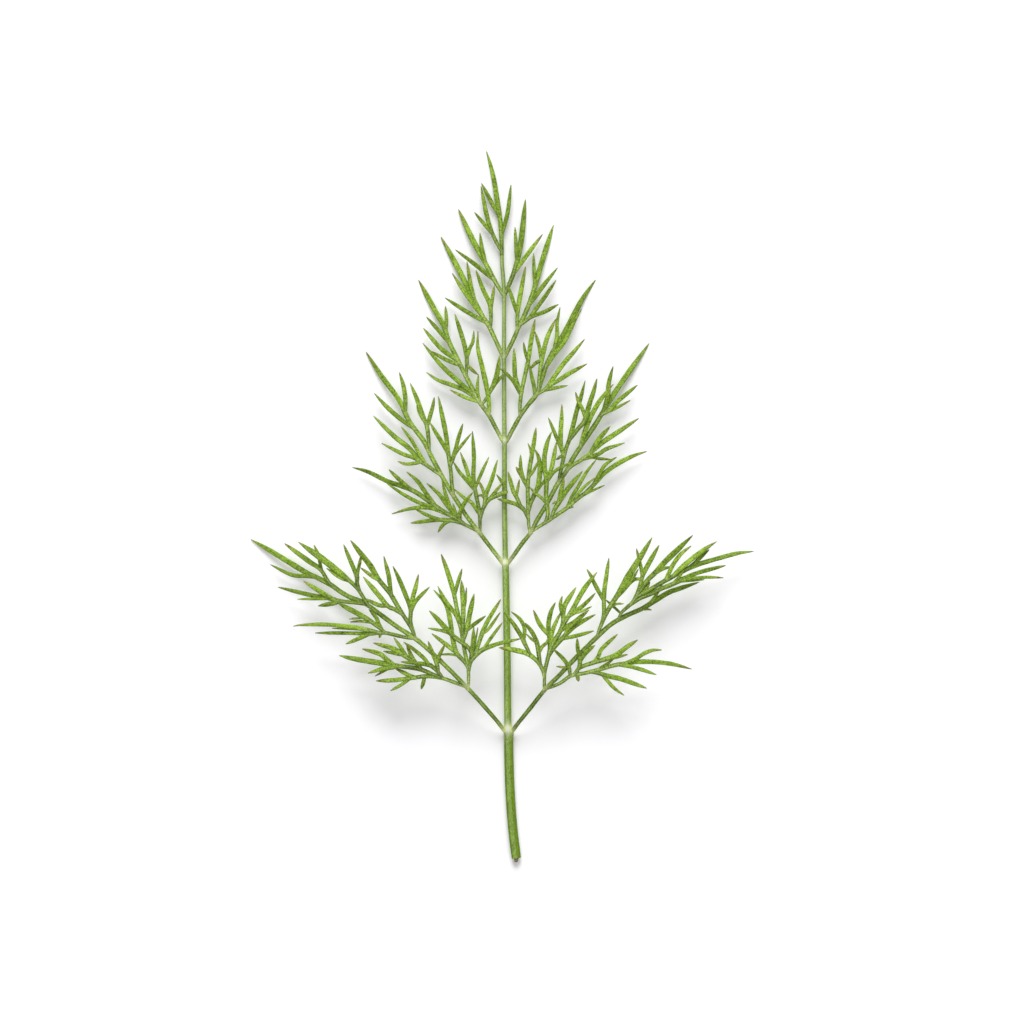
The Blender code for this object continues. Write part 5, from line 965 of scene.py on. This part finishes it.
# the upper pair
upperLeft = dict(
    node="upper_left",
    seed=25,
    jointPaleness=0.6,
    limbs=trunk(raised("upper", [(0.6, 12.6), (0.1, 13.4), (-1.05, 15.5), (-2.5, 18.2), (-4.5, 21.0),
                                 (-5.9, 23.7), (-7.3, 26.4), (-9.0, 29.8), (-10.6, 33.2), (-11.6, 36.2),
                                 (-13.5, 39.6), (-16.6, 45.3)]),
        limb(0.75, 0.5, [(-11.3, 35.2), (-11.0, 37.4), (-11.2, 40.0)]),
        limb(0.85, -0.4, [(-10.5, 33.0), (-12.4, 35.0), (-15.0, 37.9)]),
        limb(0.9, -0.8, [(-9.0, 29.4), (-12.1, 31.6), (-15.6, 35.6)]),
        limb(0.75, -0.6, [(-8.4, 28.2), (-11.0, 29.3), (-14.3, 31.1)]),
        limb(0.9, -1.2, [(-5.2, 22.3), (-7.0, 23.6), (-9.3, 25.6), (-12.3, 28.5), (-15.7, 32.6)]),
        limb(0.85, -2.2, [(-5.0, 21.8), (-7.2, 23.1), (-10.0, 24.3), (-12.8, 25.3), (-15.0, 26.8)]),
        limb(0.7, -1.0, [(-4.6, 21.2), (-7.5, 21.9), (-10.3, 23.3)]),
        limb(0.7, 0.6, [(-4.4, 20.8), (-4.8, 23.0), (-4.6, 26.4)]),
        limb(0.9, -0.6, [(-7.2, 26.2), (-6.9, 28.5), (-7.0, 30.2), (-7.6, 33.0), (-9.3, 38.4)],
            limb(0.7, 0.5, [(-7.0, 29.8), (-6.3, 31.6), (-5.7, 32.9), (-5.5, 35.1)]),
            limb(0.65, 0.7, [(-6.9, 28.2), (-5.9, 27.3), (-4.7, 26.3)])),
        limb(0.95, 0.2, [(-2.7, 18.5), (-2.5, 20.5), (-2.8, 23.0), (-3.8, 27.6), (-4.7, 31.6),
                         (-4.7, 35.0)]),
        limb(0.6, -0.4, [(-3.9, 20.3), (-3.0, 21.6), (-1.9, 23.6), (-0.5, 25.4), (0.6, 26.4)],
            limb(0.95, 0.4, [(-1.9, 23.6), (-1.2, 25.4), (-0.7, 27.4), (-0.4, 30.1)]))),
)
makePinna("upperLeftPinna", upperLeft)

upperRight = dict(
    node="upper_right",
    seed=26,
    jointPaleness=0.6,
    limbs=trunk(raised("upper", [(0.6, 12.6), (1.1, 13.2), (2.2, 15.3), (3.9, 18.3), (5.4, 20.4),
                                 (7.0, 22.4), (7.9, 25.0), (8.9, 28.0), (10.2, 30.8), (12.3, 34.2),
                                 (14.6, 38.6), (16.5, 42.0), (18.8, 45.3)]),
        limb(0.85, -1.8, [(8.8, 27.8), (10.8, 30.7), (12.6, 33.0), (14.6, 37.0), (16.0, 39.4)]),
        limb(0.75, 0.4, [(10.7, 31.6), (11.1, 34.0), (11.1, 36.6), (11.7, 39.8)]),
        limb(0.9, -0.4, [(7.4, 23.6), (7.7, 27.0), (8.2, 30.0), (9.1, 33.6), (10.8, 37.4)],
            limb(0.75, 0.4, [(8.1, 29.4), (7.6, 31.6), (6.7, 34.9)]),
            limb(0.7, 0.8, [(7.9, 29.2), (6.8, 28.6), (5.7, 27.4)])),
        limb(0.75, 1.0, [(6.8, 22.2), (6.5, 23.9), (6.0, 26.1), (5.6, 28.4)]),
        limb(0.9, -0.4, [(3.8, 18.3), (3.8, 21.4), (4.4, 24.8), (5.3, 29.0), (5.9, 33.0), (6.7, 37.4)],
            limb(0.75, 0.6, [(3.8, 22.6), (2.5, 24.8), (1.1, 26.4), (-0.3, 27.6)]),
            limb(0.9, 0.3, [(3.8, 23.0), (2.8, 25.6), (2.6, 28.4), (2.5, 31.6)]),
            limb(0.6, 0.3, [(5.3, 29.2), (4.7, 31.0), (4.4, 32.8)])),
        limb(0.9, -2.2, [(7.1, 22.5), (8.9, 23.6), (10.2, 25.4), (12.3, 28.4), (14.2, 30.6),
                         (16.6, 33.4)],
            limb(0.85, -0.6, [(9.3, 24.0), (11.4, 25.2), (13.6, 26.6), (17.1, 28.5)]),
            limb(0.7, -0.8, [(8.6, 23.4), (10.4, 23.6), (13.2, 24.15)]))),
)
makePinna("upperRightPinna", upperRight)

# the high pair
highLeft = dict(
    node="high_left",
    seed=27,
    jointPaleness=0.35,
    limbs=trunk(raised("high", [(0.5, 29.5), (-1.4, 33.7), (-2.6, 36.2), (-4.0, 38.4), (-6.3, 42.9),
                                (-9.3, 48.8), (-12.1, 53.9)]),
        limb(0.8, 0.2, [(-5.3, 41.2), (-6.2, 44.6), (-6.9, 48.9)]),
        limb(0.85, -0.9, [(-3.9, 38.2), (-6.8, 42.0), (-9.85, 46.6)]),
        limb(0.85, -1.0, [(-2.9, 36.9), (-6.9, 38.9), (-11.3, 41.7)]),
        limb(0.9, 0.2, [(-2.4, 35.8), (-2.1, 38.2), (-2.4, 40.6), (-3.7, 43.4), (-5.1, 47.2)],
            limb(0.7, 0.4, [(-2.2, 39.2), (-1.8, 41.6), (-1.4, 44.1)]))),
)
makePinna("highLeftPinna", highLeft)

highRight = dict(
    node="high_right",
    seed=28,
    jointPaleness=0.35,
    limbs=trunk(raised("high", [(0.5, 29.5), (2.35, 33.3), (3.6, 36.2), (5.1, 39.4), (6.5, 43.4),
                                (7.8, 48.0), (10.4, 56.3)]),
        limb(0.7, 0.4, [(6.7, 44.2), (6.5, 47.4), (6.4, 50.6)]),
        limb(0.85, -0.6, [(5.4, 40.4), (8.2, 43.9), (11.2, 47.7)]),
        limb(0.8, -1.2, [(3.6, 36.2), (6.0, 37.9), (8.6, 38.9), (11.4, 40.4)],
            limb(0.8, -0.4, [(5.8, 37.8), (8.2, 41.2), (10.9, 45.2)])),
        limb(0.9, 0.4, [(3.3, 35.5), (3.2, 38.4), (3.6, 41.4), (4.8, 47.9)],
            limb(0.75, 0.4, [(3.2, 38.8), (2.2, 41.4), (1.1, 44.7)]))),
)
makePinna("highRightPinna", highRight)

# the top pair, three segments each
topLeft = dict(
    node="top_left",
    seed=29,
    jointPaleness=0.2,
    limbs=trunk(raised("top", [(0.5, 42.1), (-1.0, 44.5), (-3.0, 48.2), (-5.9, 53.6), (-8.6, 59.4)]),
        limb(0.75, 0.4, [(-3.2, 48.8), (-3.9, 51.6), (-4.3, 54.7)]),
        limb(0.85, -1.0, [(-1.5, 45.6), (-5.2, 48.3), (-9.2, 51.3)])),
)
makePinna("topLeftPinna", topLeft)

topRight = dict(
    node="top_right",
    seed=30,
    jointPaleness=0.2,
    limbs=trunk(raised("top", [(0.5, 42.1), (1.65, 44.6), (2.9, 48.2), (3.9, 53.0), (4.8, 61.4)]),
        limb(0.75, 0.4, [(3.1, 49.2), (2.9, 52.4), (2.7, 55.8)]),
        limb(0.85, -1.0, [(2.4, 46.9), (5.2, 50.4), (8.2, 54.4)])),
)
makePinna("topRightPinna", topRight)


# the leaf stalk, with the end segments it carries
mainStem = dict(
    node="main_stem",
    seed=3,
    # mm: place along the leaf, diameter
    diameters=[(-70.3, 1.86), (-60.0, 1.88), (-45.9, 1.84), (-45.1, 2.06), (-44.5, 1.98), (-43.5, 1.44),
               (-42.0, 1.4), (-12.4, 1.34), (-11.6, 1.42), (-11.0, 1.4), (-10.3, 1.08), (-8.0, 1.04),
               (12.2, 0.94), (13.2, 1.06), (14.2, 0.88), (29.0, 0.82), (29.8, 0.95), (30.8, 0.8),
               (41.6, 0.76), (42.4, 0.9), (43.4, 0.76), (50.0, 0.78), (54.0, 0.85), (61.0, 1.02),
               (66.0, 0.9), (68.8, 0.64), (71.0, 0.16)],
    bladeFrom=(48, 12),              # mm: where it starts to flatten to a blade, and over what length
    skinTo=50,                       # mm: where its skin is a blade's
    thick=(0.95, 0.53),              # thickness over width, of the stalk and of the blade
    cutTo=(0.01, -0.03),             # mm from the cut, inwards: where the skin ends and the pith starts
    sides=42,
    ridge=0.035,                     # how far its lengthwise ridges stand out, as a share of its radius
    # the pith that stands out of the cut: its sizes are shares of its width, outwards
    pith=dict(width=0.9, length=0.8, off=(-0.1, -0.05), sides=10, sizes=(1, 1, 1.05, 0.95, 1.0, 0.8, 0.5)),
    limbs=trunk([(2.95, -70.3, 0.92), (2.3, -65.0, 0.92), (1.88, -60.0, 0.92), (1.6, -55.0, 0.92),
                 (1.45, -50.0, 0.95), (1.42, -47.5, 1.0), (1.42, -45.3, 1.1), (1.26, -43.6, 1.2),
                 (1.22, -40.0, 1.4), (1.12, -30.0, 1.8), (0.95, -20.0, 2.0), (0.82, -13.0, 2.05),
                 (0.78, -11.5, 2.1), (0.75, -10.0, 2.1), (0.6, 0.0, 2.1), (0.6, 10.5, 2.05),
                 (0.6, 13.0, 2.0), (0.58, 15.0, 2.0), (0.5, 29.5, 1.8), (0.5, 42.3, 1.5),
                 (0.1, 48.5, 1.3), (0.0, 53.0, 1.1), (-0.25, 57.0, 0.9), (-0.85, 61.0, 0.7),
                 (-1.45, 65.0, 0.4), (-2.2, 68.3, 0.2), (-3.0, 71.0, 0.0)],
        limb(0.8, 0.2, [(-0.4, 58.2), (-1.9, 60.6), (-4.0, 64.6)]),
        limb(0.8, 0.3, [(0.0, 54.4), (1.2, 58.6), (1.9, 64.3)]),
        limb(0.85, 0.4, [(0.0, 51.2), (-1.7, 54.3), (-2.9, 58.0), (-4.1, 64.0)],
            limb(0.75, -0.4, [(-1.9, 54.6), (-3.6, 56.6), (-5.4, 58.8)]))),
)


def traceStem(plan, traced, dice):
    line, at = smoothLine(centred(plan["limbs"]["points"]))
    along = line[:, 1] + limbShape["centre"][1]
    halfWide = np.interp(along, *zip(*plan["diameters"])) / 2
    start, over = plan["bladeFrom"]
    blade = np.clip((along - start) / over, 0, 1)
    thick, bladeThick = plan["thick"]
    halfThick = halfWide * (thick + (bladeThick - thick) * blade)
    me = sectionsOf(line, at, halfWide, halfThick, plan["sides"], stalkness=1 - blade, tone=0.4, seed=11.0,
                    ridge=plan["ridge"])
    traced.append(me)
    for side in plan["limbs"]["limbs"]:
        traceLimb(side, me, 1, traced, dice)


def tracePith(pith, traced):
    # the short end of pith that stands out of the cut, from inside the stalk outwards
    foot = traced[0]["line"][0]
    sizes = pith["width"] / 2 * np.array(pith["sizes"])
    reach = np.linspace(-0.6, 1, len(sizes))[:, None] * np.array([pith["off"][0], -pith["length"], 0.0])
    line = foot + reach + np.array([0, 0, pith["off"][1]])
    traced.append(sectionsOf(line, np.linspace(0, 1, len(sizes)), sizes, sizes, pith["sides"], seed=2.0))
    return foot


def makeStem(pieceName, plan):
    traced = []
    traceStem(plan, traced, random.Random(plan["seed"]))
    foot = tracePith(plan["pith"], traced)
    piece = growTogether(pieceName, traced)
    corners, centres, owner = mapSurface(piece, traced)
    skin = stemSkin
    centreY = limbShape["centre"][1]
    along = corners[:, 1] + centreY
    node = np.interp(along, *zip(*skin["paleness"]))
    for middle, below, above, pale in skin["nodePlaces"]:
        off = along - middle
        halo = skin["halo"] * np.exp(-np.abs(off) / np.where(off < 0, *skin["haloReach"]))
        node = np.maximum(node, pale * (np.exp(-(off / np.where(off < 0, below, above)) ** 2) + halo))
    writeCorners(piece.data, "node", node)
    writeCorners(piece.data, "light", np.interp(along, *zip(*skin["lightness"])))
    inward = (centres - foot) @ traced[0]["run"][0]     # mm from the cut
    # each face's material, as numbered by their order below
    kind = np.where((owner == 0) & (centres[:, 1] + centreY < plan["skinTo"]), 0, 1)
    kind[inward < plan["cutTo"][0]] = 2
    kind[inward < plan["cutTo"][1]] = 3
    finishPiece(piece, traced, plan["node"], "stem", stemGreen, leafGreen, cutPale, pithBrown)
    piece.data.polygons.foreach_set("material_index", kind.astype(np.int32))


makeStem("leafStalk", mainStem)


# the surface it lies on, the light and the camera
studio = dict(
    floorSize=3.0,
    floorColor=(0.97, 0.96, 0.982),
    worldStrength=0.62,
    sunFrom=(-0.03, 0.82, 0.57),     # towards the light
    sunSpread=34.0,                  # degrees, which softens the shadows
    sunStrength=2.95,
    cameraPlace=(0.0020, -0.0011),   # over the middle of the view
    viewWidth=0.2048,
    lens=300.0,
)


def makeFloor():
    mesh = bpy.data.meshes.new("paleSurface")
    half = studio["floorSize"] / 2
    corners = [(-half, -half, 0), (half, -half, 0), (half, half, 0), (-half, half, 0)]
    mesh.from_pydata(corners, [], [(0, 1, 2, 3)])
    floor = bpy.data.objects.new("paleSurface", mesh)
    bpy.context.scene.collection.objects.link(floor)
    material, _, shader = newMaterial("paleSurface", 0.9, 0.1)
    shader.inputs["Base Color"].default_value = (*studio["floorColor"], 1)
    mesh.materials.append(material)


def makeLight():
    world = bpy.data.worlds.new("softRoom")
    world.use_nodes = True
    back = world.node_tree.nodes["Background"]
    back.inputs["Color"].default_value = (1, 1, 1, 1)
    back.inputs["Strength"].default_value = studio["worldStrength"]
    bpy.context.scene.world = world
    data = bpy.data.lights.new("window", "SUN")
    data.energy = studio["sunStrength"]
    data.angle = math.radians(studio["sunSpread"])
    lamp = bpy.data.objects.new("window", data)
    bpy.context.scene.collection.objects.link(lamp)
    lamp.location = studio["sunFrom"]
    lamp.rotation_euler = (-Vector(studio["sunFrom"])).to_track_quat("-Z", "Y").to_euler()


def makeCamera():
    data = bpy.data.cameras.new("overhead")
    data.lens = studio["lens"]
    data.sensor_width = 36.0
    camera = bpy.data.objects.new("overhead", data)
    bpy.context.scene.collection.objects.link(camera)
    x, y = studio["cameraPlace"]
    camera.location = (x, y, studio["viewWidth"] * data.lens / data.sensor_width)
    data.clip_end = 10
    bpy.context.scene.camera = camera


makeFloor()
makeLight()
makeCamera()
bpy.context.scene.view_settings.view_transform = "Standard"
print("surface, light and camera made")
